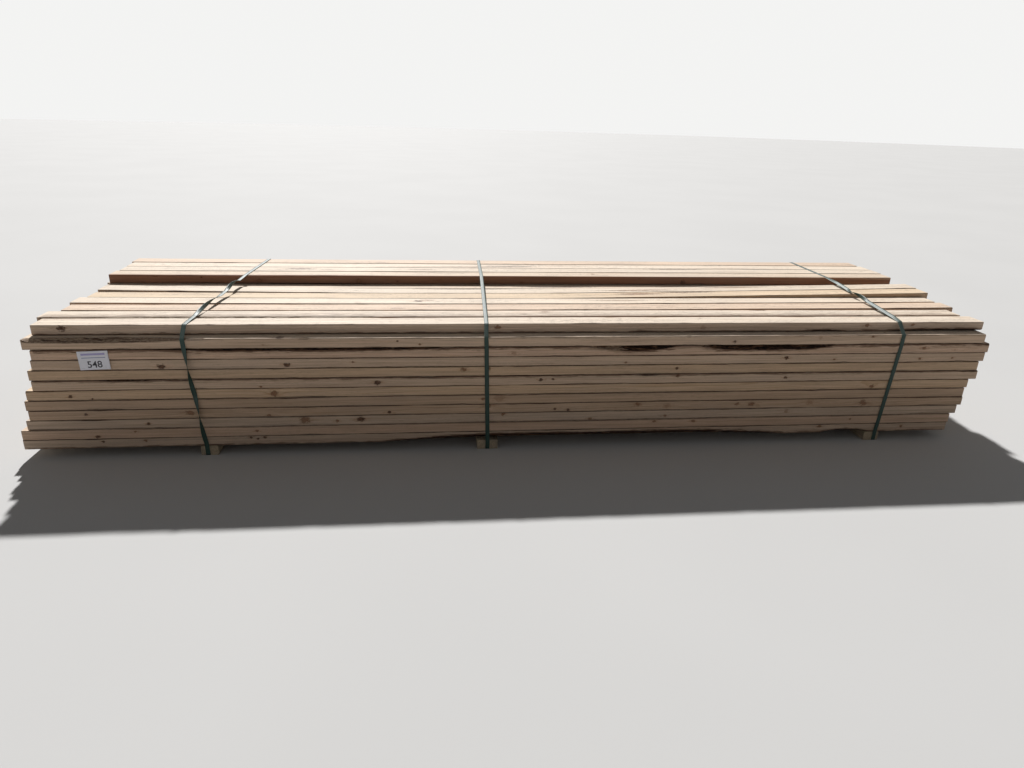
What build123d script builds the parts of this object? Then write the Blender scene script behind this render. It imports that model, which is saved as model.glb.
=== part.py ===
"""Bundle of pine studs: thirteen rows of 2x4s on three bearers, held by three straps.

X runs along the studs, Y from the tagged near face to the back, Z up. The origin is on the
ground, at the middle of the bundle. All sizes are millimetres.
"""
from build123d import *
from dataclasses import dataclass
from math import hypot, sin
import os

# Stud: a surfaced 2x4, 1 1/2 in by 3 1/2 in by 12 ft, with eased edges
stud_length = 3657.6
stud_width = 88.9
stud_thickness = 38.1
eased_edge = 2.4

# Stack: full rows, a set-in top row and a part row along the back
studs_across = 12
row_gap = 0.5
stud_gap = 0.4
row_slack = 3.0
end_reach = 57.0
end_scatter = 14.0

# How far each full row's near stud is pushed along the bundle, from the lowest row up
near_shifts = (-57, -54, -30, -15, -19, -9, 19, 14, 31, 38, 14)
row_lean = 0.8

# Top row: set in from the back, with its gaps and shifts from front to back
top_set_in = 5.3
top_gaps = (14, 9, 11, 0.4, 3, 1, 0.4, 0.4, 0.4, 0.4)
top_shifts = (30, 2, 40, 27, 53, 57, 36, 20, 44, 12, 30)

# Part row on top of it, set in from the back
part_set_in = 1.5
part_gaps = (7, 2, 7)
part_shifts = (36, 44, 40, 27)

# Warped studs: the gentle bend between a stud's level stretch and an end that rides up
warp_radius = 30000.0

# Bearers: rough-sawn, as long as the bundle is wide, grooved below for the strap
bearer_thickness = 38.0
side_bearer_width = 64.0
middle_bearer_width = 82.0
groove_side_room = 3.0
groove_floor_room = 1.8

# Bearer middles: the outer two from the bundle's ends, the third from its middle
left_bearer_inset = 653.0
right_bearer_inset = 445.0
middle_bearer_offset = -177.0

# Straps: woven polyester tape
strap_width = 16.0
strap_thickness = 0.9
strap_clearance = 0.3

# Lot tag: plastic-coated sheet on the near face, over the joint below the second row down
tag_width = 104.0
tag_height = 70.0
tag_thickness = 0.3
tag_corner = 2.0
tag_clearance = 0.3
tag_inset = 303.0
tag_turn = 2.0

# Derived places
full_rows = len(near_shifts)
groove_width = strap_width + 2 * groove_side_room
groove_depth = strap_thickness + strap_clearance + groove_floor_room
row_pitch = stud_thickness + row_gap
row_width = studs_across * stud_width + (studs_across - 1) * stud_gap
bundle_half_width = (row_width + row_slack) / 2
bundle_half_length = stud_length / 2 + end_reach
near_face = -bundle_half_width
top_row = full_rows + 1
part_row = full_rows + 2
tag_row = full_rows - 1


@dataclass
class Lean:
    """How far a strap lies from its bearer's middle, at each place where it bends."""

    groove: float
    shoulder: float
    top_edge: float
    part_edge: float
    back_edge: float


@dataclass
class Wane:
    """A stretch of natural log surface along a near edge of one stud.

    start and end are measured from the bundle's left end, rise is what it takes off the
    stud's narrow face, reach what it takes off the wide one, and run_out is the length over
    which it fades into the square edge.
    """

    row: int
    slot: int
    upper: bool
    start: float
    end: float
    rise: float
    reach: float
    run_out: float


@dataclass
class Rise:
    """A warped end of a top-row stud, which rides up clear of the row below.

    knee is where the stud starts to climb, measured from the bundle's left end, and height is
    how far its underside is above the row at that end, the right or the left one.
    """

    slot: int
    right: bool
    knee: float
    height: float


waney_edges = (
    Wane(row=11, slot=0, upper=True, start=-120, end=700, rise=14, reach=30, run_out=420),
    Wane(row=10, slot=0, upper=True, start=420, end=1700, rise=8, reach=14, run_out=500),
    Wane(row=10, slot=0, upper=True, start=2070, end=2450, rise=20, reach=30, run_out=170),
    Wane(row=10, slot=0, upper=True, start=2510, end=3100, rise=19, reach=30, run_out=200),
    Wane(row=7, slot=0, upper=True, start=250, end=540, rise=5, reach=9, run_out=130),
    Wane(row=1, slot=0, upper=False, start=1280, end=2960, rise=26, reach=34, run_out=500),
    Wane(row=1, slot=0, upper=False, start=3090, end=3320, rise=15, reach=24, run_out=100),
    Wane(row=12, slot=0, upper=False, start=2950, end=3170, rise=7, reach=12, run_out=100),
    Wane(row=12, slot=0, upper=False, start=3270, end=3900, rise=9, reach=16, run_out=330),
    Wane(row=12, slot=1, upper=True, start=-60, end=1500, rise=7, reach=12, run_out=900),
)

rises = (
    Rise(slot=2, right=True, knee=2290, height=7),
    Rise(slot=3, right=True, knee=2290, height=7),
    Rise(slot=4, right=True, knee=2060, height=26),
    Rise(slot=5, right=True, knee=2060, height=27),
    Rise(slot=3, right=False, knee=1100, height=4),
    Rise(slot=4, right=False, knee=1100, height=4),
    Rise(slot=5, right=False, knee=1180, height=12),
)

leans = {
    "left": Lean(groove=-7, shoulder=-43, top_edge=-45, part_edge=19, back_edge=44),
    "middle": Lean(groove=0, shoulder=-10, top_edge=-7, part_edge=16, back_edge=24),
    "right": Lean(groove=13, shoulder=44, top_edge=48, part_edge=87, back_edge=89),
}


def row_floor(row):
    """Height of a row's underside; rows count from 1 at the bottom."""
    return bearer_thickness + (row - 1) * row_pitch


def row_top(row):
    """Height of a row's upper face."""
    return row_floor(row) + stud_thickness


def row_sway(row):
    """Set-in of a full row from the near face: rows wander within the slack between them."""
    return row_slack / 2 * (1 + sin(2.4 * row))


def limited(shift):
    """Keep a stud's end within the reach of the bundle's ends."""
    return max(-end_reach, min(end_reach, shift))


def loose_layout(set_in, gaps, shifts):
    """Layout of a row that stands set in from the back and leaves the near side free."""
    width = len(shifts) * stud_width + sum(gaps)
    return 2 * bundle_half_width - set_in - width, gaps, shifts


def row_layout(row):
    """Set-back of a row's near stud, the gaps behind each stud and each stud's shift."""
    if row == top_row:
        return loose_layout(top_set_in, top_gaps, top_shifts)
    if row == part_row:
        return loose_layout(part_set_in, part_gaps, part_shifts)
    near = near_shifts[row - 1]
    strays = [end_scatter * sin(7.1 * row + 3.7 * slot * slot) for slot in range(1, studs_across)]
    shifts = [near] + [near * row_lean + stray for stray in strays]
    return row_sway(row), [stud_gap] * (studs_across - 1), shifts


def stud_places(row):
    """Near face and lengthwise shift of each stud in a row, front to back."""
    set_back, gaps, shifts = row_layout(row)
    places = []
    for slot, shift in enumerate(shifts):
        front = near_face + set_back + slot * stud_width + sum(gaps[:slot])
        places.append((front, limited(shift)))
    return places


def stud_section(front, floor):
    """Cross-section of a stud, by its near face and the height of its underside."""
    with BuildSketch() as section:
        with Locations((front + stud_width / 2, floor + stud_thickness / 2)):
            Rectangle(stud_width, stud_thickness)
        chamfer(section.vertices(), eased_edge)
    return section.sketch


def stud_line(row, slot, shift):
    """Line of a stud's underside from its left end to its right one, with any warped ends."""
    floor = row_floor(row)
    left = shift - stud_length / 2
    right = shift + stud_length / 2
    points = [(left, floor), (right, floor)]
    for rise in rises:
        knee = (rise.knee - bundle_half_length, floor)
        if (row, slot) == (top_row, rise.slot) and rise.right:
            points[-1:] = [knee, (right, floor + rise.height)]
        elif (row, slot) == (top_row, rise.slot):
            points[:1] = [(left, floor + rise.height), knee]
    with BuildLine(Plane.XZ) as line:
        if len(points) > 2:
            FilletPolyline(*points, radius=warp_radius)
        else:
            Line(*points)
    return line.wire()


def wane_cutter(wane, front):
    """Solid that takes the square corner off a stud along one wane."""
    corner_z = row_top(wane.row) if wane.upper else row_floor(wane.row)
    slope = hypot(wane.rise, wane.reach)
    depth = wane.rise * wane.reach / slope
    out_y = -wane.rise / slope
    out_z = wane.reach / slope if wane.upper else -wane.reach / slope
    middle = (wane.start + wane.end) / 2 - bundle_half_length
    half = (wane.end - wane.start) / 2
    level = half - min(wane.run_out, 0.95 * half)
    along_edge = Plane(origin=(middle, front, corner_z), x_dir=(1, 0, 0), z_dir=(0, -out_z, out_y))
    with BuildPart() as cutter:
        with BuildSketch(along_edge):
            with BuildLine():
                Line((-level, -depth), (level, -depth))
                TangentArc((level, -depth), (half, 0), tangent=(1, 0))
                TangentArc((-level, -depth), (-half, 0), tangent=(-1, 0))
                Polyline((half, 0), (half, stud_thickness), (-half, stud_thickness), (-half, 0))
            make_face()
        extrude(amount=stud_width / 2, both=True)
    return cutter.part


def stud_part(row, slot, front, shift):
    """One stud, with its own waney edges."""
    section = stud_section(front, 0)
    line = stud_line(row, slot, shift)
    cutters = [wane_cutter(wane, front) for wane in waney_edges if (wane.row, wane.slot) == (row, slot)]
    with BuildPart() as stud:
        with BuildSketch(Plane(origin=line @ 0, x_dir=(0, 1, 0), z_dir=line % 0)):
            add(section)
        sweep(path=line)
        for cutter in cutters:
            add(cutter, mode=Mode.SUBTRACT)
    stud.part.label = f"stud_{slot + 1:02d}"
    return stud.part


def stud_row(row):
    """All the studs of one row, each its own solid."""
    places = enumerate(stud_places(row))
    return Compound(children=[stud_part(row, slot, front, shift) for slot, (front, shift) in places])


def bearer_part(middle, groove, width):
    """A bearer with the strap's groove along its underside."""
    with BuildPart() as bearer:
        with Locations((middle, 0, bearer_thickness / 2)):
            Box(width, row_width, bearer_thickness)
        with Locations((groove, 0, groove_depth / 2)):
            Box(groove_width, row_width, groove_depth, mode=Mode.SUBTRACT)
    return bearer.part


def taut_outline():
    """Outline of a cord drawn tight round the studs and a bearer, seen along the bundle."""
    ends = []
    for row in range(1, part_row + 1):
        places = stud_places(row)
        floor = row_floor(row)
        ends += [stud_section(places[0][0], floor), stud_section(places[-1][0], floor)]
    with BuildSketch() as outline:
        for section in ends:
            add(section)
        with Locations((0, (bearer_thickness + groove_depth) / 2)):
            Rectangle(row_width, bearer_thickness - groove_depth)
        make_hull()
    return outline.sketch


def band(points):
    """Outline of a strap-wide band through points, each (place along the bundle, distance)."""
    half = strap_width / 2
    left = [(along - half, distance) for along, distance in points]
    right = [(along + half, distance) for along, distance in reversed(points)]
    Polyline(*left, *right, close=True)


def strap_lane(middle, lean):
    """The leaning lane that a strap keeps to, as seen from the front, from above and behind."""
    reach = 2 * bundle_half_width
    sky = row_top(part_row) + reach
    top_edge = stud_places(top_row)[0][0] + eased_edge
    part_edge = stud_places(part_row)[0][0] + eased_edge
    back_edge = stud_places(part_row)[-1][0] + stud_width - eased_edge
    groove = middle + lean.groove
    foot = [(groove, -reach), (groove, bearer_thickness)]
    over_top = middle + lean.top_edge
    over_back = middle + lean.back_edge
    front_lane = foot + [(middle + lean.shoulder, row_top(full_rows))]
    front_lane += [(over_top, row_top(top_row)), (over_top, sky)]
    top_lane = [(over_top, top_edge), (middle + lean.part_edge, part_edge), (over_back, back_edge)]
    back_lane = foot + [(over_back, row_top(part_row)), (over_back, sky)]
    with BuildPart() as lane:
        with BuildSketch(Plane.XZ.offset(-top_edge)):
            with BuildLine():
                band(front_lane)
            make_face()
        extrude(amount=reach)
        with BuildSketch(Plane.XY.offset(bearer_thickness)):
            with BuildLine():
                band(top_lane)
            make_face()
        extrude(amount=sky)
        with BuildSketch(Plane.XZ.offset(-back_edge)):
            with BuildLine():
                band(back_lane)
            make_face()
        extrude(amount=-reach)
        with Locations((groove, 0, 0)):
            Box(strap_width, 2 * reach, bearer_thickness)
    return lane.part


def strap_part(middle, lean, outline):
    """A strap drawn tight round the bundle: the taut loop, cut to its own leaning lane."""
    lane = strap_lane(middle, lean)
    with BuildPart() as tape:
        with BuildSketch(Plane.YZ.offset(middle)):
            offset(outline, amount=strap_clearance + strap_thickness, kind=Kind.INTERSECTION)
            offset(outline, amount=strap_clearance, kind=Kind.INTERSECTION, mode=Mode.SUBTRACT)
        extrude(amount=bundle_half_width / 2, both=True)
        add(lane, mode=Mode.INTERSECT)
    return tape.part


def tag_part():
    """The lot tag, held flat on the nearer of the two rows that it covers."""
    front = min(stud_places(row)[0][0] for row in (tag_row, tag_row - 1)) - tag_clearance
    height = row_floor(tag_row) - row_gap / 2
    place = tag_inset - bundle_half_length
    with BuildPart() as tag:
        with BuildSketch(Plane.XZ.offset(-front)):
            with Locations(Location((place, height, 0), (0, 0, tag_turn))):
                RectangleRounded(tag_width, tag_height, tag_corner)
        extrude(amount=tag_thickness)
    return tag.part


def save(part, name):
    """Label a finished piece and write it as its own file."""
    part.label = name
    export_step(part, f"parts/{name}.step")


os.makedirs("parts", exist_ok=True)

for row in range(1, part_row + 1):
    save(stud_row(row), f"stud_row_{row:02d}")

outline = taut_outline()
places = {
    "left": (left_bearer_inset - bundle_half_length, side_bearer_width),
    "middle": (middle_bearer_offset, middle_bearer_width),
    "right": (bundle_half_length - right_bearer_inset, side_bearer_width),
}
for side, (middle, width) in places.items():
    save(bearer_part(middle, middle + leans[side].groove, width), f"bearer_{side}")
    save(strap_part(middle, leans[side], outline), f"strap_{side}")

save(tag_part(), "lot_tag")
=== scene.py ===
"""Looks of a strapped bundle of pine studs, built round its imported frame.

Sizes in the classes are millimetres, and meshes are scaled to metres when they are finished.
X runs along the studs, Y from the tagged near face to the back, Z up. In the finishes, the three
numbers beside a place are how many cells a pattern has along, across and up it, for each metre of
an object's place and each millimetre of a log's.
"""

from dataclasses import dataclass
from enum import Enum
import logging
from math import atan2, cos, pi, radians, sin
import random
from typing import Optional, Union

import bmesh
import bpy
from mathutils import Matrix, Vector, noise
from mathutils.bvhtree import BVHTree

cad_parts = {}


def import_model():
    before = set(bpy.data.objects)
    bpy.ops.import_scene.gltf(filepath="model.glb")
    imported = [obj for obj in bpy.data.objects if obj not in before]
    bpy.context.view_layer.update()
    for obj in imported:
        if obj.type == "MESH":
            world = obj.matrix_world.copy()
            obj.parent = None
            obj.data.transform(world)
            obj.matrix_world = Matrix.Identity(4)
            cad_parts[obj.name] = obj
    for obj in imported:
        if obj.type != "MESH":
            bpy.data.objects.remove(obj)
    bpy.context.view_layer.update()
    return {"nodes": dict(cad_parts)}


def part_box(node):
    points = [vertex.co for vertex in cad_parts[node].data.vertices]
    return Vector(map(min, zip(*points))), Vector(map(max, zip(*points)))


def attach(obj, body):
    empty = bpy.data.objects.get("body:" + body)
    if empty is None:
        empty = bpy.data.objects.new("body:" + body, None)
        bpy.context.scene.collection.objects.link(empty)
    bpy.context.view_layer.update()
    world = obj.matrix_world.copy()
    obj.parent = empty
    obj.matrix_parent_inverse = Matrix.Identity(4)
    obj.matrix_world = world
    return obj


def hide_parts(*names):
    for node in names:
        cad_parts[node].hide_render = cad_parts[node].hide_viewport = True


LOG = logging.getLogger("stud_bundle")

METRES = 0.001
MILLIMETRES = 1000.0

STUD_WIDTH = 88.9
STUD_THICKNESS = 38.1
EASED_EDGE = 2.4
FULL_ROWS = 11
TOP_ROW = 12
PART_ROW = 13
BUNDLE_HALF_LENGTH = 1885.8
BUNDLE_HALF_WIDTH = 537.1
BUNDLE_MIDDLE_HEIGHT = 270.0

# What lies farther out than this share of the half width is on the near or the back face
FACE_SHARE = 0.98

# The part row's first stud was cut from beside the heart of its log: the radius of its heartwood,
# and where its pith lies and drifts
HEART_STUD = (PART_ROW, 0)
HEART_STUD_RADIUS = 36.0
HEART_STUD_PITH = Vector((0, -66, -4)), Vector((0, -6, -2))

# The timber_tone attribute keeps a stud's heartwood radius in its alpha, divided by this
HEART_SCALE = 100.0

Shape = bmesh.types.BMesh
Socket = bpy.types.NodeSocket
Colour = tuple[float, float, float]


class Side(Enum):
    """The long sides of a stud as it lies, by the direction that each faces."""

    NEAR = (0, -1, 0)
    BACK = (0, 1, 0)
    TOP = (0, 0, 1)
    UNDER = (0, 0, -1)


class Timber(Enum):
    """Shade of a stud's wood, as a multiplier of the plain pine colour."""

    CREAM = (1.05, 1.09, 1.14)
    PLAIN = (1.0, 1.0, 1.0)
    GREY = (0.93, 0.95, 0.98)
    HONEY = (1.0, 0.96, 0.88)
    ROSY = (1.0, 0.95, 0.94)
    TAN = (0.89, 0.85, 0.81)
    RUSSET = (0.92, 0.80, 0.72)


class Branch(Enum):
    """What kind of knot a branch left: its darkness from 0 to 1."""

    FAINT = 0.30
    SOUND = 0.62
    DEAD = 1.0


FAINT, SOUND, DEAD = Branch


@dataclass(frozen=True)
class Knot:
    """A knot or pitch streak on one side of a stud.

    along is measured from the bundle's left end and across from the side's middle. stretch is how
    many times longer the mark is along the grain than across it.
    """

    along: float
    across: float
    radius: float
    branch: Branch = SOUND
    stretch: float = 1.0

    def off(self, along: float, across: float) -> Vector:
        """Return how far a place is off the knot's middle, in radii, and the knot's darkness.

        Args:
            along: the place's distance from the bundle's left end.
            across: its distance from the side's middle.

        Returns:
            The distances along and across, and the darkness as the third component.
        """
        off_along = (along - self.along) / (self.radius * self.stretch)
        return Vector((off_along, (across - self.across) / self.radius, self.branch.value))


@dataclass(frozen=True)
class LogEdge:
    """A near edge of a stud that keeps some of the log's own surface.

    cover is how much bark is left, from 0 to 1, and relief how rough the surface is. scuff is how
    far the stain beside it reaches over the planed faces. bare lists the stretches that have lost
    bare_share of their bark, from the bundle's left end, and fade_in and fade_out are the lengths
    over which they lose it and get it back.
    """

    upper: bool
    cover: float
    relief: float
    scuff: float = 14.0
    bare: tuple[tuple[float, float], ...] = ()
    bare_share: float = 0.85
    fade_in: float = 30.0
    fade_out: float = 60.0

    def cover_at(self, along: float) -> float:
        """Return how much bark is left at a distance from the bundle's left end.

        Args:
            along: the distance.

        Returns:
            From 0 or less for none to 1 for whole bark.
        """
        lost = 0.0
        for start, end in self.bare:
            lost = max(lost, min(1.0, (along - start) / self.fade_in, (end - along) / self.fade_out))
        return self.cover * (1.0 - self.bare_share * lost)


def knot_table(rows: dict[object, tuple]) -> dict[object, tuple[Knot, ...]]:
    """Return a table in which each row's lists of values have become knots."""
    return {place: tuple(Knot(*values) for values in row) for place, row in rows.items()}


def timber_list(names: str) -> tuple[Timber, ...]:
    """Return the shades that a line of names gives."""
    return tuple(Timber[name] for name in names.split())


# Waney edges, by row and place from the near face
LOG_EDGES = {
    (11, 0): LogEdge(upper=True, cover=0.06, relief=2.4, scuff=8.0),
    (10, 0): LogEdge(upper=True, cover=1.0, relief=2.6, scuff=20.0, bare=((2040, 2270), (2440, 2590))),
    (7, 0): LogEdge(upper=True, cover=0.7, relief=1.6),
    (1, 0): LogEdge(upper=False, cover=1.0, relief=3.0),
    (12, 0): LogEdge(upper=False, cover=0.9, relief=1.4),
    (12, 1): LogEdge(upper=True, cover=-0.40, relief=2.0, scuff=88.0),
}

# Knots that show on the near face of each row's first stud, left to right
NEAR_KNOTS = knot_table({
    12: ((190, 6, 11, DEAD), (1745, 5, 8), (2553, -2, 9, FAINT), (3237, 6, 7), (3434, 9, 6)),
    11: ((890, -6, 4, FAINT), (1370, 6, 3, DEAD), (1452, -8, 4), (2670, -5, 5, DEAD),
         (3022, 10, 7, FAINT), (3240, 12, 5)),
    10: ((1804, -6, 9, FAINT), (3470, 3, 7), (3606, -7, 4, FAINT)),
    9: ((526, -8, 9, DEAD), (966, -5, 8, DEAD), (1204, 3, 4), (2241, -9, 4), (2894, 4, 7, DEAD),
        (3095, -6, 4), (3463, -5, 5), (3605, -3, 4)),
    8: ((1615, 7, 8), (1710, 12, 7), (2448, 3, 5, DEAD)),
    7: ((866, -12, 4), (1290, -2, 9, DEAD), (1912, 1, 6, DEAD), (1958, 4, 4, DEAD),
        (2455, 11, 6, DEAD), (2902, -2, 5, DEAD)),
    6: ((197, -4, 5, DEAD), (270, -15, 3, DEAD), (910, -3, 11), (3282, -8, 9)),
    5: ((1752, 8, 17, FAINT), (1690, 2, 6)),
    4: ((238, 2, 5, DEAD), (602, 3, 10), (884, -13, 6), (1330, -8, 5, DEAD), (1712, 13, 8),
        (1972, -6, 5, DEAD), (2025, -11, 5, DEAD), (2305, 8, 7), (2425, -1, 11, FAINT), (2716, 3, 7),
        (2778, 1, 9), (3026, 6, 11, FAINT), (3259, -2, 12)),
    3: ((447, 0, 5, DEAD), (1014, 5, 14), (1133, -2, 6), (1222, 3, 10, DEAD), (1768, 14, 7),
        (2116, -13, 6), (2422, -6, 6), (2932, 6, 9, FAINT)),
    2: ((264, -10, 6, DEAD), (397, 9, 4), (834, 2, 5), (2378, 10, 6), (2541, 8, 6), (3217, 3, 4)),
    1: ((278, 8, 4, DEAD), (428, 8, 5), (810, 13, 4, DEAD), (834, 7, 4, DEAD), (860, 12, 5, DEAD),
        (3091, 10, 7), (3454, 3, 5)),
})

# Knots and pitch streaks that show on top faces, by row and place from the near face
TOP_MARKS = knot_table({
    (12, 0): ((1528, 7, 6, FAINT), (1878, 32, 4), (2237, 28, 6, FAINT), (2564, 25, 4)),
    (12, 1): ((1105, 7, 10, FAINT, 3), (1950, 20, 8, SOUND, 2), (2863, 38, 5, DEAD, 5)),
    (12, 2): ((1360, -20, 8, SOUND, 3), (2480, 8, 8, FAINT, 5)),
    (12, 3): ((1440, -3, 12, DEAD, 1), (1475, 12, 8, SOUND, 3), (2300, 5, 6, SOUND, 15)),
    (12, 4): ((1072, -9, 8, FAINT, 3), (2414, 12, 18, SOUND, 4), (2651, 31, 8, DEAD, 12)),
    (12, 5): ((1650, 30, 6, DEAD, 23), (2433, -12, 10, SOUND, 12), (2900, 20, 8, SOUND, 15)),
    (12, 6): ((1010, 34, 9, DEAD, 23), (1670, 18, 8, SOUND, 21), (2080, -17, 9, DEAD, 15),
              (2698, -12, 8, SOUND, 15)),
    (12, 7): ((1330, -20, 8, DEAD, 19), (1860, -34, 9, DEAD, 21), (2350, -26, 8, SOUND, 19)),
    (13, 0): ((1740, 20, 8, FAINT, 3), (2260, 12, 9, SOUND, 1)),
    (13, 1): ((888, 5, 12, DEAD, 4), (1010, -2, 8, SOUND, 3), (1460, -4, 9, SOUND, 5),
              (2700, 34, 6, DEAD, 17)),
    (13, 2): ((1681, -19, 6, SOUND, 31), (1890, -2, 8, DEAD, 10), (2131, 17, 5, SOUND, 23)),
    (13, 3): ((1250, -20, 8, SOUND, 3), (1500, 5, 6, FAINT, 5), (2450, -12, 8, FAINT, 4)),
})

# Shades of the near studs from the lowest row up, and of the studs that show on top from the near
# face on; the others are drawn by lot
NEAR_TIMBER = timber_list("GREY ROSY GREY TAN TAN HONEY PLAIN HONEY PLAIN ROSY PLAIN")
TOP_TIMBER = timber_list("CREAM CREAM ROSY CREAM HONEY CREAM PLAIN CREAM")
PART_TIMBER = timber_list("PLAIN CREAM CREAM ROSY")


class Wire:
    """An output of a shader node, which sums and products can be written with."""

    def __init__(self, graph: "Graph", socket: Socket) -> None:
        """Keep the socket and the graph that it belongs to."""
        self.graph = graph
        self.socket = socket

    def __add__(self, other: "Value") -> "Wire":
        """Return the sum."""
        return self.graph.math("ADD", self, other)

    def __sub__(self, other: "Value") -> "Wire":
        """Return the difference."""
        return self.graph.math("SUBTRACT", self, other)

    def __mul__(self, other: "Value") -> "Wire":
        """Return the product, component by component where the other is a tuple."""
        if isinstance(other, tuple):
            return self.graph.wire("VectorMath", {0: self, 1: other}, operation="MULTIPLY")
        return self.graph.math("MULTIPLY", self, other)

    def __truediv__(self, other: "Value") -> "Wire":
        """Return the quotient."""
        return self.graph.math("DIVIDE", self, other)

    def __abs__(self) -> "Wire":
        """Return the value without its sign."""
        return self.graph.math("ABSOLUTE", self)

    def eased(self, low: float, high: float, start: float = 0.0, end: float = 1.0) -> "Wire":
        """Return a value that goes smoothly from start, where this one is low, to end, where it is high."""
        inputs = {"Value": self, "From Min": low, "From Max": high, "To Min": start, "To Max": end}
        return self.graph.wire("MapRange", inputs, interpolation_type="SMOOTHSTEP")


Value = Union[float, tuple[float, ...], Wire]


class Graph:
    """Adds nodes to one shader tree and joins their sockets."""

    def __init__(self, tree: bpy.types.NodeTree) -> None:
        """Keep the tree that the nodes go into."""
        self.tree = tree

    def node(self, kind: str, inputs: Optional[dict] = None, **settings: object) -> bpy.types.Node:
        """Add a node and feed its inputs.

        Args:
            kind: the node's type, without the ShaderNode in front.
            inputs: a value or a wire for each input, by name or number.
            settings: the node's own properties.

        Returns:
            The node.
        """
        made = self.tree.nodes.new(kind if kind.startswith("Node") else "ShaderNode" + kind)
        for name, setting in settings.items():
            setattr(made, name, setting)
        self.feed(made, inputs or {})
        return made

    def feed(self, node: bpy.types.Node, inputs: dict) -> None:
        """Join a node's inputs to wires, or set their own values.

        Args:
            node: the node.
            inputs: a value or a wire for each input, by name or number.
        """
        for name, value in inputs.items():
            socket = node.inputs[name]
            if isinstance(value, Wire):
                self.tree.links.new(value.socket, socket)
            elif socket.type == "RGBA":
                socket.default_value = (*value, 1.0)
            else:
                socket.default_value = value

    def wire(self, kind: str, inputs: Optional[dict] = None, output: Union[int, str] = 0,
             **settings: object) -> Wire:
        """Add a node and return one of its outputs."""
        return Wire(self, self.node(kind, inputs, **settings).outputs[output])

    def math(self, operation: str, first: Value, second: Value = 0.0) -> Wire:
        """Return the result of a Math node."""
        return self.wire("Math", {0: first, 1: second}, operation=operation)

    def parts(self, vector: Wire) -> tuple[Wire, ...]:
        """Return the three components of a vector."""
        return tuple(Wire(self, output) for output in self.node("SeparateXYZ", {0: vector}).outputs)

    def joined(self, x: Value, y: Value, z: Value = 0.0) -> Wire:
        """Return a vector of three components."""
        return self.wire("CombineXYZ", {0: x, 1: y, 2: z})

    def length(self, x: Value, y: Value, z: Value = 0.0) -> Wire:
        """Return the length of a vector of three components."""
        return self.wire("VectorMath", {0: self.joined(x, y, z)}, "Value", operation="LENGTH")

    def noise(self, place: Wire, detail: float = 2.0, rough: float = 0.5) -> Wire:
        """Return fractal noise about 0.5, one cell for each unit of place."""
        return self.wire("TexNoise", {"Vector": place, "Scale": 1.0, "Detail": detail, "Roughness": rough})

    def mix(self, share: Value, first: Value, second: Value, blend: str = "MIX") -> Wire:
        """Return a mixture of two colours."""
        return self.wire("Mix", {0: share, 6: first, 7: second}, 2, data_type="RGBA", blend_type=blend)

    def tint(self, colour: Value, tone: Value) -> Wire:
        """Return a colour multiplied by another, or by a factor."""
        return self.mix(1.0, colour, tone, "MULTIPLY")

    def attribute(self, name: str, output: str = "Vector") -> Wire:
        """Return a mesh's own attribute."""
        return self.wire("Attribute", None, output, attribute_name=name)

    def coordinate(self, name: str) -> Wire:
        """Return one of the coordinates of the object."""
        return self.wire("TexCoord", None, name)

    def bump(self, height: Wire, distance: float, normal: Optional[Wire] = None) -> Wire:
        """Return the normal of a surface that is raised by height times distance in metres.

        Args:
            height: the height, about 0 to 1.
            distance: how far a height of 1 stands up.
            normal: the normal of a finer relief that this one is added to.

        Returns:
            The normal.
        """
        inputs = {"Height": height, "Distance": distance, "Strength": 1.0}
        if normal is not None:
            inputs["Normal"] = normal
        return self.wire("Bump", inputs)

    def placed(self, group: bpy.types.NodeTree, inputs: dict[str, Value]) -> dict[str, Wire]:
        """Put a shared group in this graph, feed its inputs and return its outputs by name."""
        made = self.node("Group", inputs, node_tree=group)
        return {output.name: Wire(self, output) for output in made.outputs}


class Group(Graph):
    """A shader node group that more than one finish can use."""

    def __init__(self, name: str, inputs: dict[str, str]) -> None:
        """Start the group.

        Args:
            name: the group's name.
            inputs: the type of each input, such as Float, Vector or Color.
        """
        super().__init__(bpy.data.node_groups.new(name, "ShaderNodeTree"))
        for label, kind in inputs.items():
            self.tree.interface.new_socket(name=label, in_out="INPUT", socket_type="NodeSocket" + kind)
        entry = self.node("NodeGroupInput")
        self.given = {label: Wire(self, entry.outputs[label]) for label in inputs}
        self.leave = self.node("NodeGroupOutput")

    def give(self, label: str, value: Wire, kind: str = "Float") -> None:
        """Add an output of the group and feed it."""
        self.tree.interface.new_socket(name=label, in_out="OUTPUT", socket_type="NodeSocket" + kind)
        self.feed(self.leave, {label: value})


def growth_rings() -> bpy.types.NodeTree:
    """Build the annual rings of a log, read from a place relative to its pith in millimetres.

    Returns:
        The group.
    """
    group = Group("Growth rings", {
        "Log Place": "Vector", "Ring Width": "Float", "Bulge": "Float", "Heart Radius": "Float"})
    place = group.given["Log Place"]
    sway = group.noise(place * (0.0016, 0.018, 0.018))
    _, across, up = group.parts(place)
    radius = group.length(0.0, across, up) + (sway - 0.5) * 15.0 - group.given["Bulge"]
    years = radius / group.given["Ring Width"] + group.noise(place * (0.002, 0.05, 0.05), 1.0)
    season = group.math("FRACT", years)
    dense = season.eased(0.35, 0.90) * season.eased(0.93, 1.0, 1.0, 0.0)
    year = group.wire("TexWhiteNoise", {"W": group.math("FLOOR", years)}, noise_dimensions="1D")
    group.give("Late Wood", dense * (year * 0.7 + 0.3))
    group.give("Streak", group.noise(place * (0.0035, 0.16, 0.16), 4.0, 0.62))
    group.give("Band", group.noise(place * (0.0011, 0.055, 0.055), 3.0, 0.6))
    group.give("Heart", (radius / group.given["Heart Radius"]).eased(0.90, 1.12, 1.0, 0.0))
    return group.tree


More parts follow.
